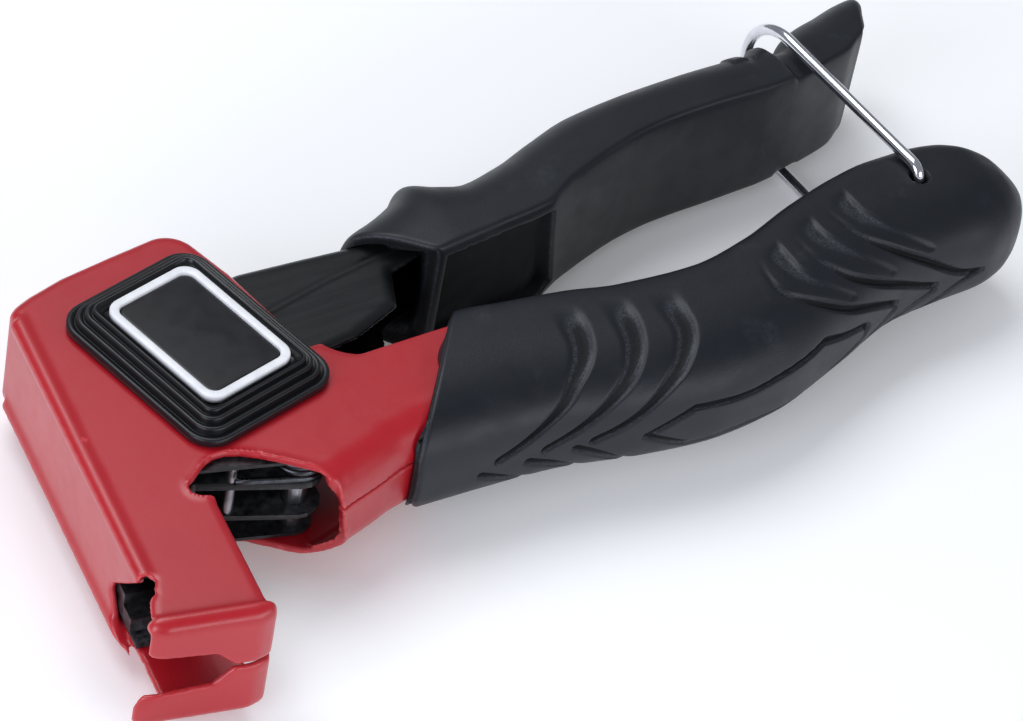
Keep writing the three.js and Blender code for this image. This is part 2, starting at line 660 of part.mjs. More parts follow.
place("body_shell", bodyShell(), PAINT);
place("fixed_grip", fixedGrip(), RUBBER);
placePair("badge_cover", badgeCover(), PLASTIC);
placePair("badge_panel", badgePanel(), PLASTIC);
placePair("badge_line", badgeRing(0, LINE_DEPTH), WHITE);
place("pivot_pin", groovedPin(LEVER_PIVOT, PIVOT_RADIUS, 14.6, 13), ZINC);
placePair("pivot_ring", retainingRing(LEVER_PIVOT, PIVOT_RADIUS - 0.4, 6.4, 13.1, 13.7), ZINC);
place("arm_pin", rod(ARM_PIVOT, ARM_PIN_RADIUS, -10.4, 10.4), ZINC);
place("lever_channel", leverChannel(), BLACK_STEEL);
place("lever_grip", leverGrip(), RUBBER);
place("lever_bush", tube(LEVER_PIVOT, PIVOT_BUSH_RADIUS, PIVOT_RADIUS + 0.1, -10.2, 10.2), ZINC);
place("lift_pin", rod(LIFT_PIN, LIFT_PIN_RADIUS, -9.1, 9.1), ZINC);
place("draw_arm", drawArm(), BLACK_STEEL);
place("spring_pin", rod(SPRING_PIN, SPRING_PIN_RADIUS, -5, 9.2), ZINC);
place("puller_block", pullerBlock(), BLACK_STEEL);
place("puller_pin", rod(PULLER_PIN, PULLER_PIN_RADIUS, -8.6, 8.6), ZINC);
placePair("side_plate", sidePlate(), ZINC);
place("return_spring", returnSpring(), ZINC);
placePair("bail_bush", tube(BAIL_PIVOT, BAIL_BUSH_RADIUS, WIRE_RADIUS + 0.15, 9.9, 12), ZINC);
place("latch_bail", latchBail(), CHROME);

const part = new THREE.Group();
part.add(tool);
part.updateMatrixWorld(true);
const bounds = new THREE.Box3().setFromObject(tool, true);
const middle = bounds.getCenter(new THREE.Vector3());
tool.position.set(-middle.x, -middle.y, -bounds.min.z);

export default part;
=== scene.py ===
"""A hand squeeze gun lying on its flank: folded red steel head, rubber grips, stepped badge and wire bail."""

import math

import bmesh
import bpy
import numpy as np
from mathutils import Matrix, Vector


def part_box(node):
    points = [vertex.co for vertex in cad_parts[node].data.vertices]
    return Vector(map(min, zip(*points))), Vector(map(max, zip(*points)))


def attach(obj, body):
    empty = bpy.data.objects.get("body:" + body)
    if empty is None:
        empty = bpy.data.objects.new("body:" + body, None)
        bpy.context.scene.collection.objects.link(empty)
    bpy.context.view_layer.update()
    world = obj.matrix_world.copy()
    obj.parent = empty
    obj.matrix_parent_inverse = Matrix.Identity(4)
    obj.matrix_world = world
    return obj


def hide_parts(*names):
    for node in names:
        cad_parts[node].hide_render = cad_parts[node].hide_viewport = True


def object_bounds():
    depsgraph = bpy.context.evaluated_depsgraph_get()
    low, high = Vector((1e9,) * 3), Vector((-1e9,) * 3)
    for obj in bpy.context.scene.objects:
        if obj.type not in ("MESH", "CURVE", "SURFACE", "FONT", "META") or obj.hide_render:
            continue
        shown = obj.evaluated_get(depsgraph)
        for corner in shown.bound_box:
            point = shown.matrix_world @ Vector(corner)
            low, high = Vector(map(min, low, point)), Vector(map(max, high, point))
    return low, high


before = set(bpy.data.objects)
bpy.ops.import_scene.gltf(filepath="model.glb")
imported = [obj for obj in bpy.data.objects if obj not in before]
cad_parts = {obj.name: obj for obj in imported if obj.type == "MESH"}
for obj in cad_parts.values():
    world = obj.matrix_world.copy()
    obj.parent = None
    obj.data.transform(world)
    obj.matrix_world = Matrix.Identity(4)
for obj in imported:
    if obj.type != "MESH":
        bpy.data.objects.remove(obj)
cad_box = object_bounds()

# Working coordinates are the tool's own, in millimetres, with Z measured from the middle of the head.
# The place of the arm's pin in the frame carries them over.
MM = 0.001
LEVER_PIVOT = (-63.5, 17.5)
ARM_PIVOT = (-57.0, -12.0)
PULLER_PIN = (-88.0, -4.0)
BAIL_PIVOT = (98.5, 0.9)
COLUMN_TILT = math.radians(8.2)
BADGE_TURN = math.radians(12.7)
HEAD_HALF = 12.25
WALL = 1.5


def node_centre(name):
    low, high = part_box(name)
    return (Vector(low) + Vector(high)) / 2


OFFSET = node_centre("arm_pin") / MM - Vector((*ARM_PIVOT, 0.0))


# Mesh helpers


def new_object(name, vertices, faces):
    """A smooth-shaded mesh object from points in working coordinates."""
    mesh = bpy.data.meshes.new(name)
    placed = (np.asarray(vertices, dtype=float) + np.array(OFFSET)) * MM
    mesh.from_pydata(placed.tolist(), [], [list(map(int, face)) for face in faces])
    mesh.validate()
    mesh.update()
    obj = bpy.data.objects.new(name, mesh)
    bpy.context.scene.collection.objects.link(obj)
    mesh.polygons.foreach_set("use_smooth", [True] * len(mesh.polygons))
    return obj


def face_outwards(obj):
    """Turns every face to point out of its closed body."""
    bm = bmesh.new()
    bm.from_mesh(obj.data)
    bmesh.ops.recalc_face_normals(bm, faces=bm.faces)
    bm.to_mesh(obj.data)
    bm.free()


def loft(name, rings, closed=False):
    """A skin of quads over rings of equal length, capped unless the last ring joins the first."""
    rings = np.asarray(rings, dtype=float)
    count = rings.shape[1]
    total = rings.shape[0]
    vertices = rings.reshape(-1, 3)
    faces = []
    for i in range(total if closed else total - 1):
        following = (i + 1) % total
        for j in range(count):
            k = (j + 1) % count
            faces.append((i * count + j, i * count + k, following * count + k, following * count + j))
    if not closed:
        faces.append(list(range(count)))
        faces.append(list(range((total - 1) * count, total * count)))
    obj = new_object(name, vertices, faces)
    face_outwards(obj)
    return obj


def arc(centre, radius, start, stop, steps):
    """Points on an arc, angles in degrees."""
    angles = np.radians(np.linspace(start, stop, steps + 1))
    return [(centre[0] + radius * math.cos(a), centre[1] + radius * math.sin(a)) for a in angles]


def rounded_box(width, height, radius, steps=6):
    x = width / 2 - radius
    y = height / 2 - radius
    corners = (((x, y), 0), ((-x, y), 90), ((-x, -y), 180), ((x, -y), 270))
    return [point for centre, start in corners for point in arc(centre, radius, start, start + 90, steps)]


def smooth_curve(points, x):
    """A curve without overshoot through points of rising first value (monotone cubic)."""
    xs = np.array([p[0] for p in points], dtype=float)
    ys = np.array([p[1] for p in points], dtype=float)
    step = np.diff(xs)
    slope = np.diff(ys) / step
    tangent = np.zeros(len(xs))
    tangent[0] = slope[0]
    tangent[-1] = slope[-1]
    turning = slope[:-1] * slope[1:] > 0
    tangent[1:-1][turning] = (2 * slope[:-1] * slope[1:] / (slope[:-1] + slope[1:] + 1e-12))[turning]
    x = np.clip(x, xs[0], xs[-1])
    i = np.clip(np.searchsorted(xs, x) - 1, 0, len(step) - 1)
    t = (x - xs[i]) / step[i]
    h = step[i]
    return (
        ys[i] * (1 + 2 * t) * (1 - t) ** 2
        + tangent[i] * h * t * (1 - t) ** 2
        + ys[i + 1] * t * t * (3 - 2 * t)
        - tangent[i + 1] * h * t * t * (1 - t)
    )


def smoothstep(low, high, x):
    t = np.clip((x - low) / (high - low), 0, 1)
    return t * t * (3 - 2 * t)


# Distance fields: negative inside, in millimetres


def segment_square(start, stop, x, y):
    """Squared distance to a straight piece between two points."""
    ex, ey = stop[0] - start[0], stop[1] - start[1]
    wx, wy = x - start[0], y - start[1]
    along = np.clip((wx * ex + wy * ey) / (ex * ex + ey * ey), 0, 1)
    return (wx - ex * along) ** 2 + (wy - ey * along) ** 2


def polygon_distance(points, x, y):
    """Signed distance to a closed outline in a plane."""
    points = np.asarray(points, dtype=float)
    best = np.full(np.broadcast(x, y).shape, np.inf)
    sign = np.ones(best.shape)
    for start, stop in zip(points, np.roll(points, 1, axis=0)):
        best = np.minimum(best, segment_square(start, stop, x, y))
        left = (stop[0] - start[0]) * (y - start[1]) > (stop[1] - start[1]) * (x - start[0])
        above, below = y >= start[1], y < stop[1]
        crossing = (above & below & left) | (~above & ~below & ~left)
        sign = np.where(crossing, -sign, sign)
    return sign * np.sqrt(best)


def line_distance(points, x, y):
    """Distance to an open line through points."""
    best = np.full(np.broadcast(x, y).shape, np.inf)
    for start, stop in zip(points[:-1], points[1:]):
        best = np.minimum(best, segment_square(start, stop, x, y))
    return np.sqrt(best)


def thickened(flat, across, half, radius):
    """A flat field given a thickness, its edges rounded."""
    p = flat + radius
    q = across - half + radius
    return np.minimum(np.maximum(p, q), 0) + np.hypot(np.maximum(p, 0), np.maximum(q, 0)) - radius


def smooth_min(a, b, k):
    h = np.maximum(k - np.abs(a - b), 0) / k
    return np.minimum(a, b) - h * h * k / 4


def smooth_max(a, b, k):
    return -smooth_min(-a, -b, k)


def crossing_means(value):
    """For each grid cell, the sum and number of the zero crossings on its edges."""
    shape = tuple(n - 1 for n in value.shape)
    total = np.zeros(shape + (3,), dtype=np.float32)
    count = np.zeros(shape, dtype=np.float32)

    def corner(offset):
        return value[tuple(slice(o, o + n) for o, n in zip(offset, shape))]

    for axis in range(3):
        others = [a for a in range(3) if a != axis]
        for i in (0, 1):
            for j in (0, 1):
                start = [0, 0, 0]
                start[others[0]] = i
                start[others[1]] = j
                stop = list(start)
                stop[axis] = 1
                a, b = corner(start), corner(stop)
                crossed = (a < 0) != (b < 0)
                share = np.where(crossed, a / np.where(crossed, a - b, 1), 0)
                for k in range(3):
                    total[..., k] += np.where(crossed, share if k == axis else start[k], 0)
                count += crossed
    return total, count


def crossing_quads(inside, index, axis):
    """One quad around each grid edge along an axis that passes through the surface."""
    u, v = [(1, 2), (2, 0), (0, 1)][axis]
    first = [slice(1, n - 1) for n in inside.shape]
    second = list(first)
    first[axis] = slice(0, inside.shape[axis] - 1)
    second[axis] = slice(1, inside.shape[axis])
    a, b = inside[tuple(first)], inside[tuple(second)]
    base = np.argwhere(a != b)
    outward = a[tuple(base.T)]
    base[:, u] += 1
    base[:, v] += 1
    quad = []
    for du, dv in ((-1, -1), (0, -1), (0, 0), (-1, 0)):
        place = base.copy()
        place[:, u] += du
        place[:, v] += dv
        quad.append(index[tuple(place.T)])
    quad = np.stack(quad, axis=1)
    quad[~outward] = quad[~outward][:, ::-1]
    return quad


def surface(name, field, low, high, cell):
    """The zero surface of a field as quads, one point in each grid cell that the surface crosses."""
    axes = [np.arange(lo, hi + cell, cell) for lo, hi in zip(low, high)]
    x, y, z = np.meshgrid(*axes, indexing="ij", sparse=True)
    value = field(x, y, z).astype(np.float32)
    total, count = crossing_means(value)
    used = count > 0
    index = np.full(count.shape, -1, dtype=np.int64)
    index[used] = np.arange(int(used.sum()))
    points = np.argwhere(used) + total[used] / count[used][:, None]
    points = points * cell + np.array(low)
    faces = [crossing_quads(value < 0, index, axis) for axis in range(3)]
    obj = new_object(name, points, np.concatenate(faces))
    relax(obj)
    return obj


def relax(obj):
    """Evens out the small steps a grid leaves along sharp edges."""
    modifier = obj.modifiers.new("even", "SMOOTH")
    modifier.factor = 0.5
    modifier.iterations = 2


# Head shell

FRONT_TOP = (-93.4, 40.0)
NOSE_DEPTH = 43.8
NOSE_FALL = 0.075
NOSE_FRONT = 14.2  # how far the lips reach in front of the puller pin's line
LIP_STEP = 1.7  # how far the lips stand out from the flanks
FAR_LIP_SHIFT = 1.7  # how much further forward the far lip reaches than the near one
BEAD_RADIUS = 1.7
BEAD_OUT = HEAD_HALF - BEAD_RADIUS + 0.3  # the bead's middle, from the middle of the head
BEAD_HOLLOW = 0.85
WINDOW_FOOT = -31.5
WINDOW_ARCH = [(-12.3, 0), (-11.8, 6), (-9.4, 9.7), (-4.6, 12.8), (-2.4, 12.3), (4, 6), (9.5, 1), (11, 0)]


def front_x(y):
    return FRONT_TOP[0] + (y - FRONT_TOP[1]) * math.tan(COLUMN_TILT)


def in_column(x, y):
    """Down and across the column from the puller pin."""
    dx, dy = x - PULLER_PIN[0], y - PULLER_PIN[1]
    s, c = math.sin(COLUMN_TILT), math.cos(COLUMN_TILT)
    return -dx * s - dy * c, dx * c - dy * s


def from_column(down, across):
    s, c = math.sin(COLUMN_TILT), math.cos(COLUMN_TILT)
    return PULLER_PIN[0] - down * s + across * c, PULLER_PIN[1] - down * c - across * s


def nose_down(down, across):
    """Distance down to the nose's end face, which falls a little towards the rear."""
    return down - NOSE_FALL * (across + NOSE_FRONT)


HEAD_OUTLINE = [
    (front_x(36), 36), *arc((-88, 38), 5.4, 175, 112, 6), (-87, 44.2), (-78.8, 46.4), (-67, 48.1),
    *arc((-56.4, 42.4), 7, 103, 12, 10), (-46.8, 34), (-42.6, 10.5),
    *arc((-30.2, 14.0), 10.2, 200, 262, 6), (-10, 3.6), (-10, -12), (-60, -12), (-79.2, -16.4),
    from_column(41, 10.4), from_column(41, -11.6),
]
NOTCH_END = -53.6
NOTCH_EDGE = [(-79.4, -18.2), *arc((-81.2, -15.2), 2.2, 250, 100, 6), (-79.6, -11.6), (-77.6, -10.2),
              (-75.2, -9.4), (-72.6, -9.5), (-70, -10.5), (-66.7, -12.6), (-62.8, -15.9), (-59.6, -18.9),
              (-56.4, -21.5), (NOTCH_END, -23.4)]
NOTCH_OUTLINE = [(-79.2, -18), *NOTCH_EDGE[1:], (NOTCH_END, -40), from_column(41, 10.4)]
NOSE_SIDE = [
    from_column(47, -11.6), from_column(43.8, -12.8), from_column(42.6, -13.9), from_column(41.2, -14.2),
    from_column(39, -13.4), from_column(36.6, -12.9), from_column(34.4, -12.2), from_column(31.6, -10.2),
    from_column(29.4, -8.2), from_column(26, -6), from_column(26, 10.4), from_column(38.6, 10.5),
    from_column(40.4, 11.1), from_column(42.4, 11.3), from_column(44.2, 10.6), from_column(45.2, 9),
    from_column(47, 7),
]
MOUTH = [(-56.5, 43.6), (-56.5, 30), (-50, 8), (-41, 4), (-28, -1), (10, -4), (10, 60), (-45, 60)]
COLUMN_BACK = [(-86, -5), (-57, -5), (-57, -30), (-70, -47), (-90, -47)]
CHANNEL_TOP = [(-66, 3.8), (-30, 3.8), (-12, 3.6), (11, 0.4)]
CHANNEL_BELLY = [(-66, -25.5), (-55, -25), (-50, -23.8), (-44, -22.1), (-38, -20.2), (-30, -19), (-10, -18.6)]
CHANNEL_START = -66
CHANNEL_ROUND = 8.0
RIM_RADIUS = 1.1
RIM_SINK = 0.8  # how deep the rim's middle lies under the outside
SEAM_LEVEL = 3.5  # height of the belly's seam over the middle of the head
SEAM_HALF = 0.22
PIVOT_BORE = 4.2
SHELL_END = -6.0


def outer_head(x, y, z):
    """The head's outside, before it is hollowed."""
    side = np.abs(z)
    down, across = in_column(x, y)
    plate = polygon_distance(HEAD_OUTLINE, x, y)
    front = front_x(y) + 0.9 - x
    head = thickened(np.maximum(plate, front), side, HEAD_HALF, 2.2)
    bead_x = front_x(y) + BEAD_RADIUS
    bead = np.hypot((x - bead_x) * math.cos(COLUMN_TILT), side - BEAD_OUT) - BEAD_RADIUS
    bead = np.maximum(bead, y - FRONT_TOP[1] + 1.2)
    bead = np.maximum(bead, WINDOW_FOOT - y)
    head = smooth_min(head, bead, 0.9)
    belly = smooth_curve(CHANNEL_BELLY, x)
    top = smooth_curve(CHANNEL_TOP, x)
    channel = thickened(belly - y, side, HEAD_HALF, CHANNEL_ROUND)
    channel = np.maximum(channel, y - top)
    channel = np.maximum(channel, CHANNEL_START - x)
    deep = nose_down(down, across)
    step = LIP_STEP * smoothstep(38.8, 40.8, deep)
    forward = FAR_LIP_SHIFT * smoothstep(-4, -9, z) * smoothstep(-6, -11, across)
    end = smooth_max(deep - NOSE_DEPTH, polygon_distance(NOSE_SIDE, x + forward, y + 0 * z), 1.8)
    nose = thickened(end, side, HEAD_HALF + step, 2.9)
    return np.minimum(np.minimum(head, channel), nose)


def nose_slot(x, y, z):
    """The slot between the lips, wide at the front and narrowing to a slit."""
    down, across = in_column(x, y)
    outline = [(-20, -5.2), (-11.2, -5), (-0.6, -4.1), (3.2, -0.45), (20, -0.45),
               (20, 0.45), (3.2, 0.45), (-0.6, 4.1), (-11.2, 5), (-20, 5.2)]
    return np.maximum(polygon_distance(outline, across + 0 * z, z + 0 * across), 40.5 - down)


def front_window(x, y, z):
    """The arch over the puller, cut through the front wall only and higher towards the far flank."""
    down, across = in_column(x, y)
    arch = [(z_, WINDOW_FOOT + rise) for z_, rise in WINDOW_ARCH] + [(11, -60), (-12.3, -60)]
    opening = polygon_distance(arch, z + 0 * y, y + 0 * z)
    opening = smooth_max(opening, across + 8.5, 0.4)
    return smooth_max(opening, nose_down(down, across) - 42.1, 0.4)


def hook_cut(x, y, z):
    """The open end of each bead and the flank cut back beside it."""
    side = np.abs(z)
    hollow = np.hypot(x - front_x(y) - BEAD_RADIUS, side - BEAD_OUT) - BEAD_HOLLOW
    hollow = np.maximum(np.maximum(hollow, y - WINDOW_FOOT - 3), WINDOW_FOOT - 4 - y)
    edge = [(-120, WINDOW_FOOT), (-101.6, WINDOW_FOOT), (-100.6, -32.6), (-101.4, -33.9), (-104.4, -35.6),
            (-106.5, -38.2), (-107.2, -41), (-109.4, -43), (-120, -43)]
    return np.minimum(hollow, polygon_distance(edge, x, y) + 0 * z)


def shell_field(x, y, z):
    """The folded head: a skin under the outside, with its cuts, rolled rim and seam."""
    side = np.abs(z)
    outer = outer_head(x, y, z)
    down, across = in_column(x, y)
    wall = WALL + 0.9 * smoothstep(-9.2, -10.4, across) * smoothstep(36, 32, down)
    skin = smooth_max(outer, -(outer + wall), 0.25)
    slanted = x + 0.22 * z * smoothstep(-19.5, -23.5, y) * smoothstep(-74, -66, x)
    notch = polygon_distance(NOTCH_OUTLINE, slanted, y + 0 * z)
    rim = np.hypot(line_distance(NOTCH_EDGE, slanted, y + 0 * z), outer + RIM_SINK) - RIM_RADIUS
    belly_rim = np.maximum(np.hypot(slanted - NOTCH_END, outer + RIM_SINK) - RIM_RADIUS, y + 22.4)
    rim = np.maximum(np.minimum(rim, belly_rim), -notch - 0.1)
    skin = smooth_min(skin, rim, 0.8)
    skin = smooth_max(skin, -notch, 0.7)
    between = side - HEAD_HALF + WALL
    skin = smooth_max(skin, -np.maximum(polygon_distance(MOUTH, x, y), between), 0.5)
    skin = smooth_max(skin, -np.maximum(polygon_distance(COLUMN_BACK, x, y), between), 0.5)
    skin = smooth_max(skin, -front_window(x, y, z), 0.8)
    skin = smooth_max(skin, -hook_cut(x, y, z), 0.7)
    skin = smooth_max(skin, -nose_slot(x, y, z), 0.9)
    seam = np.maximum(np.maximum(np.abs(z - SEAM_LEVEL) - SEAM_HALF, y + 14), -60 - x)
    skin = smooth_max(skin, -seam, 0.25)
    pivot = np.hypot(x - LEVER_PIVOT[0], y - LEVER_PIVOT[1]) - PIVOT_BORE
    skin = np.maximum(skin, -pivot)
    return np.maximum(skin, x - SHELL_END)


def make_shell():
    return surface("head_shell", shell_field, (-111.5, -53.0, -15.5), (-4.5, 51.0, 15.5), 0.5)


# Rubber grips

FIXED_TOP = [(-36, 7.4), (-12, 8.2), (-2, 6.6), (11.6, 4.4), (22, 1.8), (40, 0.2), (54, 2.6), (70, 8),
             (82, 11.2), (92, 12.6), (100, 12.6), (108, 11.5), (114, 8.6), (118, 5.2), (121, 0.8),
             (122.6, -3.4)]
FIXED_BELLY = [(-36, -22.5), (-3, -24.7), (16.6, -28.8), (32.6, -30.7), (46.6, -29.5), (66.6, -23.5),
               (86.6, -17), (100, -16), (108, -15.7), (114, -14.2), (118, -12), (121, -9.2), (122.6, -6.6)]
FIXED_HALF = [(-36, 15.2), (60, 15.3), (80, 14.6), (104, 14.5), (112, 13.9), (117, 12.2), (120, 9.8),
              (122, 7), (122.6, 5)]
FIXED_FRONT = [(-35.5, -22), (-12.2, 6.8)]
LEVER_RIDGE = [(-23, 34.8), (-20.5, 36.3), (-17.3, 38.6), (-12, 40.3), (-5.3, 43.3), (-0.5, 46.8),
               (4, 44.3), (10, 41.9), (20, 44), (30, 47.4), (42, 51), (60, 52.5), (82, 53), (84.6, 53),
               (86.2, 51.9), (88, 52.2), (89.5, 53.6), (91.2, 54), (92.6, 51.2), (97.4, 51.2), (98.9, 54.1),
               (105, 57), (110, 58.1), (116, 59.5), (119.5, 59.9), (122.3, 58.9), (124.2, 56.6), (125, 54)]
LEVER_FLAT = [(-23, 19.5), (-5, 20.5), (10, 22), (22, 23.4), (27, 26), (31, 28), (36, 29.8), (42, 31.8),
              (50, 34), (60, 35.5), (70, 35.9), (84, 36), (92, 36.6), (100, 38.2), (108, 40.2), (113, 43.2),
              (125, 50)]
LEVER_HALF = [(-23, 13.5), (-12, 14.6), (0, 15.4), (70, 15.3), (84, 14.8), (91.4, 14.6), (92.6, 13.4),
              (97.4, 13.4), (99.5, 14.2), (113, 14), (125, 13)]
LEVER_FRONT = [(-6.6, 20.4), (-20.5, 36), (-22, 60)]
LEVER_END = [(113.4, 38), (116, 45), (125, 62)]
CENTRE_LINE = 51.0  # where the chevrons meet, percent of the way round the grip from the middle of its top
ROUND_MM = 0.98  # millimetres of rubber in each percent
STATION = 0.5  # millimetres between the sections a grip is read from
CUT_ROUNDS = 12  # passes that settle the end rings on their cuts
ROOM_RINGS = 24
RELIEF_FULL = 1.5  # depth that counts as full relief in the rubber's colour


def section(x, flat, ridge, half, shoulder, square, turn):
    """Points round a grip, turn in percent from the middle of the flat side past the near flank.

    The flat side's edges are crisper the smaller the two square powers are.
    """
    dense = np.linspace(-np.pi / 2, 3 * np.pi / 2, 721)
    reach, side = np.sin(dense), np.cos(dense)
    middle = (flat + (ridge - flat) * shoulder)[:, None]
    edge = np.where(reach < 0, flat[:, None], ridge[:, None])
    y = middle + (edge - middle) * np.abs(reach) ** np.where(reach < 0, square[0], 0.95)
    z = half[:, None] * np.sign(side) * np.abs(side) ** np.where(reach < 0, square[1], 0.75)
    length = np.cumsum(np.hypot(np.diff(y, prepend=y[:, :1]), np.diff(z, prepend=z[:, :1])), axis=1)
    share = length / length[:, -1:] * 100
    y_out = np.stack([np.interp(turn, s, row) for s, row in zip(share, y)])
    z_out = np.stack([np.interp(turn, s, row) for s, row in zip(share, z)])
    return y_out, z_out


def follow(points, y):
    """X along a cut drawn as points from low to high Y."""
    xs, ys = zip(*points)
    return np.interp(y, ys, xs)


def grip_grid(flat, ridge, half, shoulder, square, start, end, steps, around):
    """A grip's outside as a grid of points, its first and last rings lying on the two end cuts."""
    turn = np.arange(around) * 100.0 / around
    stations = np.arange(flat[0][0], flat[-1][0] + STATION, STATION)
    ys, zs = section(stations, smooth_curve(flat, stations), smooth_curve(ridge, stations),
                     smooth_curve(half, stations), shoulder, square, turn)
    column = np.arange(around)

    def look_up(table, x):
        place = np.clip((x - stations[0]) / STATION, 0, len(stations) - 1.001)
        low = place.astype(int)
        share = place - low
        return table[low, column] * (1 - share) + table[low + 1, column] * share

    first = np.full(around, start[0][0], dtype=float)
    last = np.full(around, end[-1][0], dtype=float)
    for _ in range(CUT_ROUNDS):
        first = 0.5 * first + 0.5 * np.maximum(follow(start, look_up(ys, first)), stations[0])
        last = 0.5 * last + 0.5 * np.minimum(follow(end, look_up(ys, last)), stations[-1])
    share = np.linspace(0, 1, steps)[:, None]
    x = first + (last - first) * share
    y = np.stack([look_up(ys, row) for row in x])
    z = np.stack([look_up(zs, row) for row in x])
    return np.stack([x, y, z], axis=-1), turn


def grid_normals(grid):
    """Unit normals of a grid of points, all pointing out."""
    along = np.gradient(grid, axis=0)
    around = np.roll(grid, -1, axis=1) - np.roll(grid, 1, axis=1)
    normal = np.cross(along, around)
    normal /= np.linalg.norm(normal, axis=-1, keepdims=True) + 1e-9
    centre = grid.mean(axis=1, keepdims=True)
    if ((grid - centre) * normal).sum() < 0:
        normal = -normal
    return normal


def rounded_path(points):
    """A smooth path through (x, percent) points."""
    steps = 8
    points = np.array(points, dtype=float)
    ends = np.vstack([2 * points[0] - points[1], points, 2 * points[-1] - points[-2]])
    path = []
    for a, b, c, d in zip(ends, ends[1:], ends[2:], ends[3:]):
        for t in np.arange(steps) / steps:
            path.append(0.5 * (2 * b + (c - a) * t + (2 * a - 5 * b + 4 * c - d) * t * t
                               + (3 * b - a - 3 * c + d) * t ** 3))
    path.append(points[-1])
    return np.array(path)


def along_path(path, x, turn):
    """Signed distance in millimetres (positive rearwards) and the share of the path passed."""
    best = np.full(x.shape, 1e9)
    signed = np.zeros(x.shape)
    share = np.zeros(x.shape)
    flat = path * np.array([1, ROUND_MM])
    lengths = np.linalg.norm(np.diff(flat, axis=0), axis=1)
    passed = np.concatenate([[0], np.cumsum(lengths)])
    for i, (a, b) in enumerate(zip(flat[:-1], flat[1:])):
        ex, ey = b - a
        wx, wy = x - a[0], turn * ROUND_MM - a[1]
        t = np.clip((wx * ex + wy * ey) / (ex * ex + ey * ey), 0, 1)
        distance = np.hypot(wx - ex * t, wy - ey * t)
        closer = distance < best
        best = np.where(closer, distance, best)
        signed = np.where(closer, distance * np.sign(wx * ey - wy * ex), signed)
        share = np.where(closer, (passed[i] + t * lengths[i]) / passed[-1], share)
    return signed, share


def scoop(path, x, turn, reach, depth, wall):
    """A hollow that deepens towards a wall along the path; each measure is its start and end value."""
    signed, share = along_path(path, x, turn)

    def at(pair):
        return pair[0] + (pair[1] - pair[0]) * smoothstep(0, 0.75, share)

    rise = 1 - smoothstep(-at(wall), at(wall), signed)
    fall = smoothstep(-at(reach) - at(wall), -at(wall) * 0.8, signed)
    inside = smoothstep(path[0][1] - 0.5, path[0][1] + 0.3, turn)
    near_end = smoothstep(1.6, 0.2, np.where(share >= 1, np.abs(signed), 0))
    return at(depth) * rise * fall * inside * near_end * smoothstep(-0.02, 0.2, share)


def groove(path, x, turn, width, depth, fade=0.0):
    """A narrow line along the path, coming in over the first share of it given by fade."""
    signed, share = along_path(path, x, turn)
    shown = smoothstep(0, fade, share) if fade else 1.0
    return depth * shown * smoothstep(width, width * 0.25, np.abs(signed))


FRONT_CHEVRONS = [
    [(10, 19.6), (9, 24.8), (7.5, 29.6), (5, 33.5), (1, 37.5), (-3, 41.3), (-11.5, 46.6), (-17.5, 49.6)],
    [(20.5, 19), (19.5, 25), (18, 30), (16, 33.5), (12.5, 37.7), (8, 41.2), (-0.5, 47), (-7, 50)],
    [(31, 19.8), (30, 25.4), (29.5, 29.2), (27.5, 33.1), (23.5, 37.5), (20, 40), (10, 47), (3.5, 50.4)],
]
REAR_LINES = [
    [(52, 20.2), (51, 26), (52.5, 30.7), (59, 36.4), (66.5, 41.5), (74.5, 45.4), (83, 50)],
    [(62.5, 21), (63, 26.8), (66, 31.7), (70, 36.5), (78.5, 42.3), (88, 47.5), (94, 50.2)],
    [(74, 19.1), (74.5, 24.8), (78.5, 32.2), (85, 38.4), (92.5, 43.7), (100, 48.8), (106.5, 51)],
]
REAR_WALLS = [
    [(58.5, 19.5), (58.5, 24.7), (59.5, 29.5), (63.5, 34.7), (69, 39.5)],
    [(69.5, 19.3), (69.5, 24.3), (71.5, 28.8), (75.5, 34.5), (82, 40.8)],
    [(81, 18.7), (81, 24.5), (82.5, 28.3), (87, 34.6), (93, 39.8)],
]
BELLY_PANEL = [[(14.5, 51), (24.5, 46)], [(24.5, 46), (37.5, 46.4), (47, 45.5), (54, 44.9), (58.5, 44.2)],
               [(58.5, 44.2), (65, 46.8), (72, 48.8), (74, 51)]]
FAR_SHIFT = 3.5  # the far arms of the front chevrons sit this much further forward
HOLE_DEPTH = 2.6
GUARD_DEPTH = 3.2
LAND_HEIGHT = 0.5


def fixed_relief(grid, turn):
    """Depth of the moulded pattern and of the bail's holes on the fixed grip."""
    x = grid[..., 0]
    hole = np.hypot(x - BAIL_PIVOT[0], grid[..., 1] - BAIL_PIVOT[1])
    depth = HOLE_DEPTH * smoothstep(2.2, 1.75, hole) * (np.abs(grid[..., 2]) > 8)
    for side in (1, -1):
        round_ = turn if side == 1 else 2 * CENTRE_LINE - turn
        shifted = x if side == 1 else x + FAR_SHIFT
        cuts = []
        for path in map(rounded_path, FRONT_CHEVRONS):
            cuts.append(scoop(path, shifted, round_, (5.2, 0.8), (1.25, 1.1), (1.15, 0.45)))
            cuts.append(groove(path, shifted, round_, 1.05, 1.75, fade=1.0))
        for path in map(rounded_path, REAR_WALLS):
            cuts.append(scoop(path, x, round_, (5.8, 1.5), (0.95, 0.3), (0.7, 0.5)))
        for path in map(rounded_path, REAR_LINES):
            cuts.append(groove(path, x, round_, 1.0, 1.6, fade=0.55))
        for path in map(rounded_path, BELLY_PANEL):
            cuts.append(groove(path, x, round_, 0.95, 1.5))
        depth = np.maximum(depth, np.maximum.reduce(cuts))
    return depth


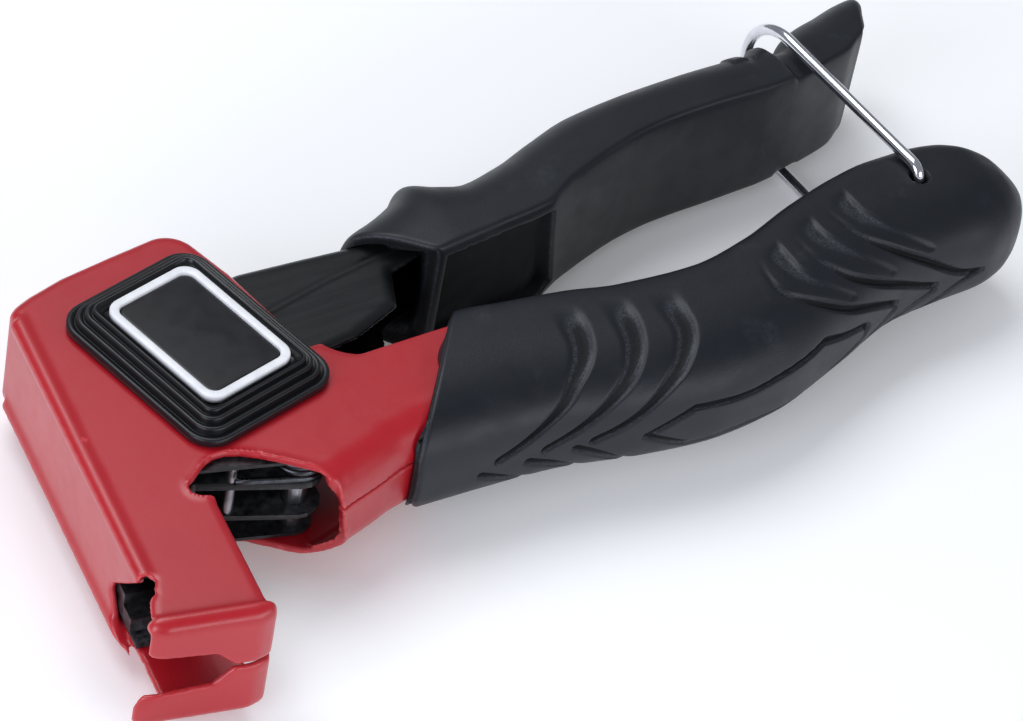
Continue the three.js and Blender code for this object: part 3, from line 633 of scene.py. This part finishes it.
def lever_relief(grid, turn):
    """Depth of the recess under the guard, and the lands beside the bail's seat."""
    x, z = grid[..., 0], grid[..., 2]
    away = np.minimum(turn, 100 - turn)
    step = 26.2 - 0.21 * z
    guard = smoothstep(step, step - 1.4, x) * smoothstep(-4.6, -3.8, x)
    guard = guard * smoothstep(12.5, 11.7, np.abs(z)) * (away < 20)
    lands = smoothstep(82, 82.5, x) * smoothstep(86, 85.5, x)
    lands = lands + smoothstep(87.2, 87.8, x) * smoothstep(91.4, 90.8, x)
    lands = lands * smoothstep(30, 31, away) * smoothstep(38, 37, away)
    return GUARD_DEPTH * guard - LAND_HEIGHT * lands


def edge_round(grid, radius, end):
    """How far the outside pulls in near an end ring, so that its edge is round."""
    ring = grid[-1] if end else grid[0]
    away = np.abs(grid[..., 0] - ring[..., 0])
    near = np.clip(radius - away, 0, radius)
    return radius - np.sqrt(radius ** 2 - near ** 2)


def grip_room(grid, turn, room):
    """Rings of the hollow inside a grip, from its front cut to the hollow's end."""
    angle = 2 * np.pi * (turn / 100 - 0.25)
    reach, side = np.sin(angle), np.cos(angle)
    rings = []
    for share in np.linspace(0, 1, ROOM_RINGS):
        x = grid[0, :, 0] + (room["end"] - grid[0, :, 0]) * share
        top, foot, width = (smooth_curve(room[part], x) for part in ("top", "foot", "half"))
        y = (top + foot) / 2 + (foot - top) / 2 * np.sign(reach) * np.abs(reach) ** 0.55
        z = width * np.sign(side) * np.abs(side) ** 0.45
        rings.append(np.stack([x, y, z], axis=-1))
    return np.array(rings)


def make_grip(name, outline, cuts, relief, room, count, rounds):
    """A hollow rubber sleeve with its relief pressed in, and that depth kept for the painted shade and
    highlight in its colour.
    """
    steps, around = count
    grid, turn = grip_grid(*outline, *cuts, steps, around)
    depth = relief(grid, turn[None, :] + 0 * grid[..., 0])
    depth = depth + edge_round(grid, rounds[0], False) + edge_round(grid, rounds[1], True)
    outside = grid - grid_normals(grid) * depth[..., None]
    grip = loft(name, np.concatenate([outside[::-1], grip_room(grid, turn, room)]))
    relief_layer = grip.data.attributes.new("relief", "FLOAT", "POINT")
    values = np.zeros(len(grip.data.vertices))
    values[: steps * around] = np.clip(depth[::-1].reshape(-1), 0, RELIEF_FULL) / RELIEF_FULL
    relief_layer.data.foreach_set("value", values)
    return grip


def make_fixed_grip():
    room = {
        "end": 104.6,
        "top": [(x, y - 2.5) for x, y in FIXED_TOP],
        "foot": [(-44, -22.4), (-38, -20.5), (-30, -19.3), (-10, -18.9), (16, -22.2), (33, -24.6),
                 (47, -23.4), (67, -17.8), (86, -11.8), (105, -9.3)],
        "half": [(-36, 12.6), (-12, 12.6), (0, 10.9), (105, 9.9)],
    }
    outline = (FIXED_TOP, FIXED_BELLY, FIXED_HALF, 0.36, (0.4, 0.75))
    rear = [(FIXED_HALF[-1][0], -20), (FIXED_HALF[-1][0], 20)]
    return make_grip("fixed_grip_rubber", outline, (FIXED_FRONT, rear), fixed_relief, room,
                     (450, 310), (1.2, 0.6))


def make_lever_grip():
    room = {
        "end": 106.3,
        "top": [(-30, 19.7), (-5, 26.2), (27.5, 29.7), (31, 32.7), (42, 39.2), (50, 42.1), (60, 43.3),
                (90, 44.9), (107, 45.1)],
        "foot": [(-51, 36.3), (-44, 37.4), (-30, 36.3), (-19, 35.3), (0, 38.9), (10, 39.1), (20, 40.9),
                 (30, 44.1), (42, 48.1), (60, 49.8), (88, 50.1), (90, 48.5), (107, 48.7)],
        "half": [(-36, 9.5), (107, 9.5)],
    }
    outline = (LEVER_FLAT, LEVER_RIDGE, LEVER_HALF, 0.3, (0.16, 0.22))
    return make_grip("lever_grip_rubber", outline, (LEVER_FRONT, LEVER_END), lever_relief, room,
                     (350, 230), (1.4, 2.6))


# Badge

BADGE_PLACE = (-64.3, 16.65)
BADGE_SIZE = (35.2, 45.0)
BADGE_STEPS = [(0.0, 2.1), (1.7, 3.4), (3.2, 4.6), (4.6, 5.6)]  # inset and height of each ridge
BADGE_EDGE = 0.5
VALLEY = (5.5, 4.7)
LINE_SIZE = (22.4, 32.2)
LINE_WIDTH = 1.8
BADGE_CORNER = 6
LINE_CORNER = 3.6


def badge_ring(size, inset, height, corner, side):
    """A rounded rectangle on the badge, height measured from the flank."""
    turn = BADGE_TURN
    outline = rounded_box(size[0] - 2 * inset, size[1] - 2 * inset, max(corner - inset * 0.8, 0.8), 9)
    return [(BADGE_PLACE[0] + x * math.cos(turn) - y * math.sin(turn),
             BADGE_PLACE[1] + x * math.sin(turn) + y * math.cos(turn),
             side * (HEAD_HALF + height)) for x, y in outline]


def round_over(inset, height, radius):
    """Profile points over the outer edge of a step."""
    return [(inset + radius * (1 - math.cos(a)), height - radius * (1 - math.sin(a)))
            for a in np.radians(np.linspace(0, 90, 5))]


def cover_profile():
    """The cover's section from its foot over the steps to the bottom of its pocket."""
    profile = [(0.3, 0.1), (0.0, 0.4)]
    for index, (inset, height) in enumerate(BADGE_STEPS):
        if index:
            before = BADGE_STEPS[index - 1][1]
            profile += [(inset - 0.5, before - 0.05), (inset - 0.2, before - 0.5), (inset, before - 0.3)]
        profile += round_over(inset, height, BADGE_EDGE)
    lip = (BADGE_SIZE[0] - LINE_SIZE[0]) / 2 - 0.1
    inset, height = VALLEY
    return profile + [(inset - 0.35, BADGE_STEPS[-1][1] - 0.1), (inset, height), (lip, height),
                      (lip + 0.1, 4.3), (lip + 0.5, 4.2)]


LINE_PROFILE = [(0, 4.4), (0, 5.7), (0.12, 5.92), (0.35, 6.0), (LINE_WIDTH - 0.35, 6.0),
                (LINE_WIDTH - 0.12, 5.92), (LINE_WIDTH, 5.7), (LINE_WIDTH, 4.4)]
PANEL_PROFILE = [(LINE_WIDTH + 0.2, 4.6), (LINE_WIDTH + 0.2, 5.2), (LINE_WIDTH + 0.4, 5.38),
                 (LINE_WIDTH + 0.7, 5.4)]


def make_badge(side, tag):
    """The stepped cover, the raised line and the panel inside it, on one flank."""
    cover = loft("badge_cover_" + tag, [badge_ring(BADGE_SIZE, i, h, BADGE_CORNER, side)
                                        for i, h in cover_profile()])
    line = loft("badge_line_" + tag, [badge_ring(LINE_SIZE, i, h, LINE_CORNER, side)
                                      for i, h in LINE_PROFILE], closed=True)
    panel = loft("badge_panel_" + tag, [badge_ring(LINE_SIZE, i, h, LINE_CORNER, side)
                                        for i, h in PANEL_PROFILE])
    return cover, line, panel


# Bail and spring

BAIL_REACH = 56.8
BAIL_LEAN = 3.6  # how far the bar stands in front of the pivot
BAIL_HALF = 16.0
BAIL_CORNER = 11.5
BAIL_HOOK = 7.0
BAIL_BEND = 3.0
WIRE_RADIUS = 1.25
SPRING_RADIUS = 5.0
SPRING_WIRE = 0.7
SPRING_LEVEL = 6.4
SPRING_PITCH = 1.55


def sweep(name, path, radius, sides):
    """A round wire along a path, its ends a little domed."""
    path = np.array(path, dtype=float)
    tangent = np.gradient(path, axis=0)
    tangent /= np.linalg.norm(tangent, axis=1, keepdims=True)
    normal = np.cross(tangent[0], [0.3, 0.5, 0.81])
    rings = []
    for place, direction in zip(path, tangent):
        normal = normal - direction * normal.dot(direction)
        normal /= np.linalg.norm(normal)
        other = np.cross(direction, normal)
        angles = np.arange(sides) * 2 * np.pi / sides
        rings.append(place + radius * (np.outer(np.cos(angles), normal) + np.outer(np.sin(angles), other)))
    first, last = rings[0], rings[-1]
    rings.insert(0, first * 0.72 + path[0] * 0.28 - tangent[0] * radius * 0.22)
    rings.append(last * 0.72 + path[-1] * 0.28 + tangent[-1] * radius * 0.22)
    return loft(name, rings)


def bail_path():
    """The bail's centre line: half of it as (up, z), then mirrored and set on its pivot."""
    half = [(0, BAIL_HALF - BAIL_HOOK), (0, BAIL_HALF - BAIL_BEND - 1)]
    half += [(u, z) for z, u in arc((BAIL_HALF - BAIL_BEND, BAIL_BEND), BAIL_BEND, -90, 0, 8)]
    half += [(u, BAIL_HALF) for u in np.linspace(BAIL_BEND + 2, BAIL_REACH - BAIL_CORNER - 2, 9)]
    corner = (BAIL_HALF - BAIL_CORNER, BAIL_REACH - BAIL_CORNER)
    half += [(u, z) for z, u in arc(corner, BAIL_CORNER, 0, 90, 20)]
    half += [(BAIL_REACH, BAIL_HALF - BAIL_CORNER - 2)]
    flat = half + [(u, -z) for u, z in reversed(half)]
    lean = math.atan2(-BAIL_LEAN, BAIL_REACH)
    return [(BAIL_PIVOT[0] + u * math.sin(lean), BAIL_PIVOT[1] + u * math.cos(lean), z) for u, z in flat]


def straight_leg(start, angle, distances):
    """Points in a straight line from a start, at an angle in degrees."""
    a = math.radians(angle)
    return [(start[0] + d * math.cos(a), start[1] + d * math.sin(a), start[2]) for d in distances]


def spring_path():
    """A straight leg to the draw arm's spring pin, the coil, and a straight leg along the handle."""
    x, y = ARM_PIVOT
    start, turns = -109, 2
    finish = 360 * turns - 84
    coil = []
    for angle in np.linspace(start, finish, 90):
        a = math.radians(angle)
        rise = SPRING_PITCH * (angle - start) / 360
        coil.append((x + SPRING_RADIUS * math.cos(a), y + SPRING_RADIUS * math.sin(a), SPRING_LEVEL + rise))
    leg_in = straight_leg(coil[0], 161, (13.5, 10, 6, 3, 1))
    leg_out = straight_leg(coil[-1], 11, (1, 3, 6, 9, 11.5))
    return leg_in + coil + leg_out


# Lever channel

CORE_RIDGE = [(-51, 36), (-44, 37.1), (-30, 36), (-19, 35), (0, 38.6), (10, 38.8), (20, 40.6), (30, 43.8),
              (42, 47.8), (60, 49.5)]
CORE_FOOT = [(-5, 26.5), (27.5, 30), (31, 33), (42, 39.5), (50, 42.4), (60, 43.6)]
LEVER_RIB = [(-56, 21), (-44, 23.5), (-30, 26.6), (-12, 29.5), (10, 31)]
LEVER_HALF_WIDTH = 9.2
LEVER_WALL = 1.6
LIFT_PIN = (-84, 8)


def lever_field(x, y, z):
    """The lever's pressed channel, open below, with its ribs and two bores."""
    side = np.abs(z)
    outline = [*arc(LIFT_PIN, 5, 110, 290, 8), *arc(LEVER_PIVOT, 9.5, 240, 290, 4), (-46, 8.5), (-30, 10.5),
               (-18, 15), (-14, 23.8), *CORE_FOOT, *reversed(CORE_RIDGE), (-52, 34.8), (-60, 30),
               *arc(LEVER_PIVOT, 11, 100, 150, 4)]
    outer = thickened(polygon_distance(outline, x, y), side, LEVER_HALF_WIDTH, 3.4)
    under = [(-100, -20), (70, -20), (70, 40), *[(px, py - LEVER_WALL) for px, py in reversed(CORE_RIDGE)],
             (-52, 28.5), (-62, 23.5), (-100, 23.5)]
    room = np.maximum(polygon_distance(under, x, y), side - LEVER_HALF_WIDTH + LEVER_WALL)
    channel = smooth_max(outer, -room, 0.5)
    rib = line_distance(LEVER_RIB, x, y)
    bead = np.hypot(rib, side - LEVER_HALF_WIDTH + 0.25) - 0.65
    channel = smooth_min(channel, bead, 0.7)
    for centre, radius in ((LEVER_PIVOT, 5.6), (LIFT_PIN, 2.1)):
        channel = np.maximum(channel, radius - np.hypot(x - centre[0], y - centre[1]))
    return channel


def make_lever_channel():
    return surface("lever_channel_steel", lever_field, (-91, 1.5, -10.5), (61, 51.5, 10.5), 0.55)


# Materials


class Nodes:
    """A material's node tree with short calls for the nodes used here."""

    def __init__(self, name):
        self.material = bpy.data.materials.new(name)
        self.material.use_nodes = True
        self.tree = self.material.node_tree
        self.tree.nodes.clear()
        output = self.tree.nodes.new("ShaderNodeOutputMaterial")
        self.shader = self.tree.nodes.new("ShaderNodeBsdfPrincipled")
        self.tree.links.new(self.shader.outputs["BSDF"], output.inputs["Surface"])
        coordinates = self.tree.nodes.new("ShaderNodeTexCoord")
        self.place = coordinates.outputs["Object"]

    def add(self, kind, inputs=None, **settings):
        node = self.tree.nodes.new("ShaderNode" + kind)
        for name, value in settings.items():
            setattr(node, name, value)
        for name, value in (inputs or {}).items():
            self.feed(node.inputs[name], value)
        return node

    def feed(self, socket, value):
        if isinstance(value, bpy.types.NodeSocket):
            self.tree.links.new(value, socket)
        else:
            socket.default_value = value

    def noise(self, scale, detail=3.0, distortion=0.0, stretch=(1, 1, 1)):
        """Noise over the object; scale counts its cells in a metre."""
        where = self.place
        if stretch != (1, 1, 1):
            where = self.add("Mapping", {"Vector": self.place, "Scale": stretch}).outputs["Vector"]
        node = self.add("TexNoise", {"Vector": where, "Scale": scale, "Detail": detail,
                                     "Distortion": distortion})
        return node.outputs["Fac"]

    def span(self, value, low, high, start=0.3, stop=0.7):
        node = self.add("MapRange", {"Value": value, "From Min": start, "From Max": stop,
                                     "To Min": low, "To Max": high})
        return node.outputs["Result"]

    def blend(self, factor, first, second):
        node = self.add("Mix", data_type="RGBA")
        self.feed(node.inputs["Factor"], factor)
        self.feed(node.inputs["A"], first)
        self.feed(node.inputs["B"], second)
        return node.outputs["Result"]

    def maths(self, operation, first, second=0.0):
        node = self.add("Math", operation=operation)
        self.feed(node.inputs[0], first)
        self.feed(node.inputs[1], second)
        return node.outputs[0]

    def edges(self, start, stop):
        """High on outer edges, from the mesh's own curvature."""
        point = self.add("NewGeometry").outputs["Pointiness"]
        return self.span(point, 0.0, 1.0, start, stop)

    def bump(self, layers):
        """Layers of (height, strength, depth in metres), the first underneath."""
        normal = None
        for height, strength, distance in layers:
            inputs = {"Height": height, "Strength": strength, "Distance": distance}
            if normal is not None:
                inputs["Normal"] = normal
            normal = self.add("Bump", inputs).outputs["Normal"]
        self.feed(self.shader.inputs["Normal"], normal)

    def finish(self, colour, roughness, **constants):
        self.feed(self.shader.inputs["Base Color"], colour)
        self.feed(self.shader.inputs["Roughness"], roughness)
        for name, value in constants.items():
            self.shader.inputs[name.replace("_", " ")].default_value = value
        return self.material


def shade(red, green, blue):
    """A colour from its 0-255 values."""
    def linear(value):
        value /= 255
        return value / 12.92 if value < 0.04045 else ((value + 0.055) / 1.055) ** 2.4
    return (linear(red), linear(green), linear(blue), 1.0)


def red_paint():
    nodes = Nodes("red_paint")
    broad = nodes.noise(22, 2)
    fine = nodes.noise(1500, 4)
    colour = nodes.blend(nodes.span(broad, 0, 1), shade(172, 17, 30), shade(184, 23, 37))
    # Lighter pink on the outer edges: painted highlight along the bends, with a little edge wear.
    colour = nodes.blend(nodes.edges(0.515, 0.58), colour, shade(205, 60, 66))
    speck = nodes.span(nodes.noise(5200, 1), 0, 0.10, 0.62, 0.75)
    colour = nodes.blend(speck, colour, shade(214, 88, 92))
    roughness = nodes.span(nodes.noise(240, 4), 0.30, 0.38)
    nodes.bump([(nodes.noise(520, 2), 0.05, 0.0003), (fine, 0.1, 0.0001)])
    return nodes.finish(colour, roughness, Coat_Weight=0.3, Coat_Roughness=0.28)


def grip_rubber():
    nodes = Nodes("grip_rubber")
    broad = nodes.noise(30, 3)
    colour = nodes.blend(nodes.span(broad, 0, 1), shade(13, 17, 24), shade(18, 22, 30))
    relief = nodes.add("Attribute", attribute_name="relief", attribute_type="GEOMETRY").outputs["Fac"]
    wall = nodes.maths("MULTIPLY", nodes.span(relief, 0, 1, 0.15, 0.45), nodes.span(relief, 1, 0, 0.5, 0.85))
    grain = nodes.noise(2600, 3)
    # Painted highlight: the walls of the relief are lightened where their fine grain would catch the light.
    wall_highlight = nodes.maths("MULTIPLY", wall, nodes.span(grain, 0.1, 1.0, 0.4, 0.6))
    colour = nodes.blend(nodes.maths("MULTIPLY", wall_highlight, 0.55), colour, shade(92, 97, 104))
    # Painted shade: the deep grooves are darkened; the same mask also makes them rougher.
    deep = nodes.maths("MULTIPLY", nodes.span(relief, 0, 1, 0.3, 0.6), 0.8)
    colour = nodes.blend(deep, colour, shade(6, 7, 9))
    scuff = nodes.span(nodes.noise(95, 6, 0.6), 0, 0.35, 0.6, 0.78)
    colour = nodes.blend(nodes.maths("MULTIPLY", scuff, nodes.span(nodes.noise(900, 3), 0, 1)), colour,
                         shade(66, 70, 77))
    roughness = nodes.span(nodes.noise(180, 4), 0.40, 0.50)
    roughness = nodes.maths("ADD", roughness, nodes.maths("MULTIPLY", deep, 0.45))
    nodes.bump([(nodes.noise(150, 2), 0.08, 0.0006), (grain, 0.22, 0.00016),
                (nodes.noise(5200, 2), 0.2, 0.00006)])
    return nodes.finish(colour, roughness, Specular_IOR_Level=0.42)


def badge_black():
    nodes = Nodes("badge_black")
    colour = nodes.blend(nodes.span(nodes.noise(60, 2), 0, 1), shade(10, 11, 14), shade(15, 16, 20))
    # Lighter grey on the outer edges: a painted highlight along the ridges.
    colour = nodes.blend(nodes.maths("MULTIPLY", nodes.edges(0.52, 0.62), 0.5), colour, shade(58, 60, 66))
    roughness = nodes.span(nodes.noise(300, 4), 0.28, 0.38)
    nodes.bump([(nodes.noise(900, 3), 0.08, 0.0001)])
    return nodes.finish(colour, roughness, Coat_Weight=0.08, Coat_Roughness=0.2, Specular_IOR_Level=0.36)


def badge_white():
    nodes = Nodes("badge_white")
    colour = nodes.blend(nodes.span(nodes.noise(400, 4), 0, 1), shade(232, 233, 235), shade(246, 246, 247))
    marks = nodes.span(nodes.noise(1400, 5, 0.4), 0, 0.22, 0.6, 0.75)
    colour = nodes.blend(marks, colour, shade(168, 170, 174))
    nodes.bump([(nodes.noise(1800, 3), 0.1, 0.00008)])
    return nodes.finish(colour, nodes.span(nodes.noise(500, 3), 0.34, 0.46))


def black_steel(name, dark, light):
    nodes = Nodes(name)
    colour = nodes.blend(nodes.span(nodes.noise(70, 3), 0, 1), dark, light)
    worn = nodes.maths("MULTIPLY", nodes.edges(0.53, 0.62), nodes.span(nodes.noise(700, 4), 0, 1))
    colour = nodes.blend(nodes.maths("MULTIPLY", worn, 0.6), colour, shade(104, 106, 110))
    scratch = nodes.noise(600, 4, 0.2, (0.08, 1, 1))
    roughness = nodes.span(scratch, 0.30, 0.42)
    nodes.bump([(scratch, 0.12, 0.0001), (nodes.noise(1500, 3), 0.16, 0.00008)])
    return nodes.finish(colour, roughness, Metallic=0.25, Specular_IOR_Level=0.5)


def zinc(name, dark, light):
    nodes = Nodes(name)
    colour = nodes.blend(nodes.span(nodes.noise(500, 4), 0, 1), dark, light)
    brushed = nodes.noise(900, 4, 0.0, (1, 1, 0.06))
    roughness = nodes.span(brushed, 0.24, 0.40)
    nodes.bump([(brushed, 0.16, 0.00008)])
    return nodes.finish(colour, roughness, Metallic=1.0)


def bail_chrome():
    nodes = Nodes("bail_chrome")
    drawn = nodes.noise(900, 4, 0.0, (1, 0.05, 1))
    colour = nodes.blend(nodes.span(nodes.noise(350, 4), 0, 1), shade(214, 216, 222), shade(232, 233, 238))
    nodes.bump([(drawn, 0.1, 0.00005)])
    return nodes.finish(colour, nodes.span(drawn, 0.10, 0.17), Metallic=1.0)


def floor_card():
    nodes = Nodes("floor_card")
    colour = nodes.blend(nodes.span(nodes.noise(4, 2), 0, 1), shade(250, 250, 250), shade(252, 252, 252))
    nodes.bump([(nodes.noise(700, 3), 0.05, 0.0001)])
    return nodes.finish(colour, 0.85, Emission_Color=(1, 1, 1, 1), Emission_Strength=0.14)


# Assembly


def put(piece, body, slot, material, *replaced):
    """Gives a piece its material and body, and hides the CAD nodes it stands for. The slot is not used."""
    piece.data.materials.clear()
    piece.data.materials.append(material)
    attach(piece, body)
    if replaced:
        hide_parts(*replaced)


EDGE_WIDTH = 0.25


def break_edges(piece):
    """Rounds a CAD node's sharp edges."""
    modifier = piece.modifiers.new("edge", "BEVEL")
    modifier.width = EDGE_WIDTH * MM
    modifier.segments = 3
    modifier.limit_method = "ANGLE"
    modifier.angle_limit = math.radians(38)
    piece.data.polygons.foreach_set("use_smooth", [False] * len(piece.data.polygons))


RED = red_paint()
RUBBER = grip_rubber()
BADGE_BLACK = badge_black()
BADGE_WHITE = badge_white()
BLACK = black_steel("black_steel", shade(14, 15, 17), shade(22, 23, 26))
ZINC = zinc("zinc_pin", shade(150, 152, 156), shade(186, 188, 192))
# A darker copy of the black steel: painted shade on the parts seen inside the head.
SHADED_BLACK = black_steel("black_steel_shaded", shade(7, 7, 8), shade(12, 12, 13))
# A darker copy of the zinc, for the bail bushes and as painted shade on the spring inside the notch.
DARK_ZINC = zinc("dark_zinc_bushes_and_spring_shade", shade(60, 62, 66), shade(92, 94, 98))
CHROME = bail_chrome()

put(make_shell(), "root", "red_paint", RED, "body_shell")
put(make_fixed_grip(), "root", "grip_rubber", RUBBER, "fixed_grip")
put(make_lever_grip(), "lever", "grip_rubber", RUBBER, "lever_grip")
put(make_lever_channel(), "lever", "black_steel", BLACK, "lever_channel")
for flank, label in ((1, "near"), (-1, "far")):
    cover, line, panel = make_badge(flank, label + "_moulding")
    put(cover, "root", "badge_black", BADGE_BLACK, "badge_cover_" + label)
    put(line, "root", "badge_white", BADGE_WHITE, "badge_line_" + label)
    put(panel, "root", "badge_black", BADGE_BLACK, "badge_panel_" + label)
put(sweep("bail_wire", bail_path(), WIRE_RADIUS, 24), "bail", "bail_chrome", CHROME, "latch_bail")
# The spring takes the darker zinc as painted shade inside the notch.
put(sweep("spring_wire", spring_path(), SPRING_WIRE, 14), "arm", "zinc_pin", DARK_ZINC, "return_spring")

KEPT = {
    BLACK: ("draw_arm",),
    # painted shade: the puller block and side plates take the darker copy of the black steel
    SHADED_BLACK: ("puller_block", "side_plate_near", "side_plate_far"),
    ZINC: ("pivot_pin", "pivot_ring_near", "pivot_ring_far", "arm_pin", "lever_bush", "lift_pin",
           "spring_pin", "puller_pin"),
    DARK_ZINC: ("bail_bush_near", "bail_bush_far"),
}
for material, names in KEPT.items():
    for name in names:
        node = bpy.data.objects[name]
        node.data.materials.clear()
        node.data.materials.append(material)
        break_edges(node)


# Floor, light and camera


def area_light(name, place, target, size, power, colour):
    """A rectangular lamp in the frame's metres, aimed at a target."""
    light = bpy.data.lights.new(name, "AREA")
    light.shape = "RECTANGLE"
    light.size, light.size_y = size
    light.energy = power
    light.color = colour
    lamp = bpy.data.objects.new(name, light)
    lamp.location = place
    lamp.rotation_euler = (Vector(target) - Vector(place)).to_track_quat("-Z", "Y").to_euler()
    bpy.context.scene.collection.objects.link(lamp)


FLOOR_HALF = 6.0
FLOOR_GAP = 0.0002

low, high = (Vector(corner) for corner in cad_box)
middle = (low + high) / 2
bm = bmesh.new()
bmesh.ops.create_grid(bm, x_segments=2, y_segments=2, size=FLOOR_HALF)
floor_mesh = bpy.data.meshes.new("floor")
bm.to_mesh(floor_mesh)
bm.free()
floor = bpy.data.objects.new("floor", floor_mesh)
floor.location = (0, 0, low.z - FLOOR_GAP)
floor_mesh.materials.append(floor_card())
bpy.context.scene.collection.objects.link(floor)

world = bpy.data.worlds.new("studio")
world.use_nodes = True
background = world.node_tree.nodes["Background"]
background.inputs["Color"].default_value = (0.88, 0.92, 1.0, 1)
background.inputs["Strength"].default_value = 0.28
bpy.context.scene.world = world
bpy.context.scene.view_settings.view_transform = "Standard"
bpy.context.scene.view_settings.look = "None"

area_light("over", (-0.12, 0.40, 0.88), middle, (0.8, 0.6), 5.6, (0.93, 0.96, 1.0))
area_light("front", (-0.9, -0.35, 0.45), middle, (0.6, 0.6), 5.0, (0.84, 0.87, 1.0))
area_light("belly", (0.25, -0.95, 0.35), middle, (0.9, 0.4), 3.8, (0.92, 0.94, 1.0))

CAMERA_PLACE = (-461.7, -558.2, 689.4)  # in working coordinates, as are its three directions
CAMERA_LENS = 175.95
CAMERA_RIGHT = (0.8422, -0.5197, 0.1433)
CAMERA_UP = (0.2783, 0.6468, 0.7101)
CAMERA_BACK = (-0.4617, -0.5582, 0.6894)
camera_data = bpy.data.cameras.new("camera")
camera_data.lens = CAMERA_LENS
camera_data.sensor_width = 36
camera = bpy.data.objects.new("camera", camera_data)
turned = Matrix((CAMERA_RIGHT, CAMERA_UP, CAMERA_BACK)).transposed()
camera.matrix_world = Matrix.Translation((Vector(CAMERA_PLACE) + OFFSET) * MM) @ turned.to_4x4()
bpy.context.scene.collection.objects.link(camera)
bpy.context.scene.camera = camera
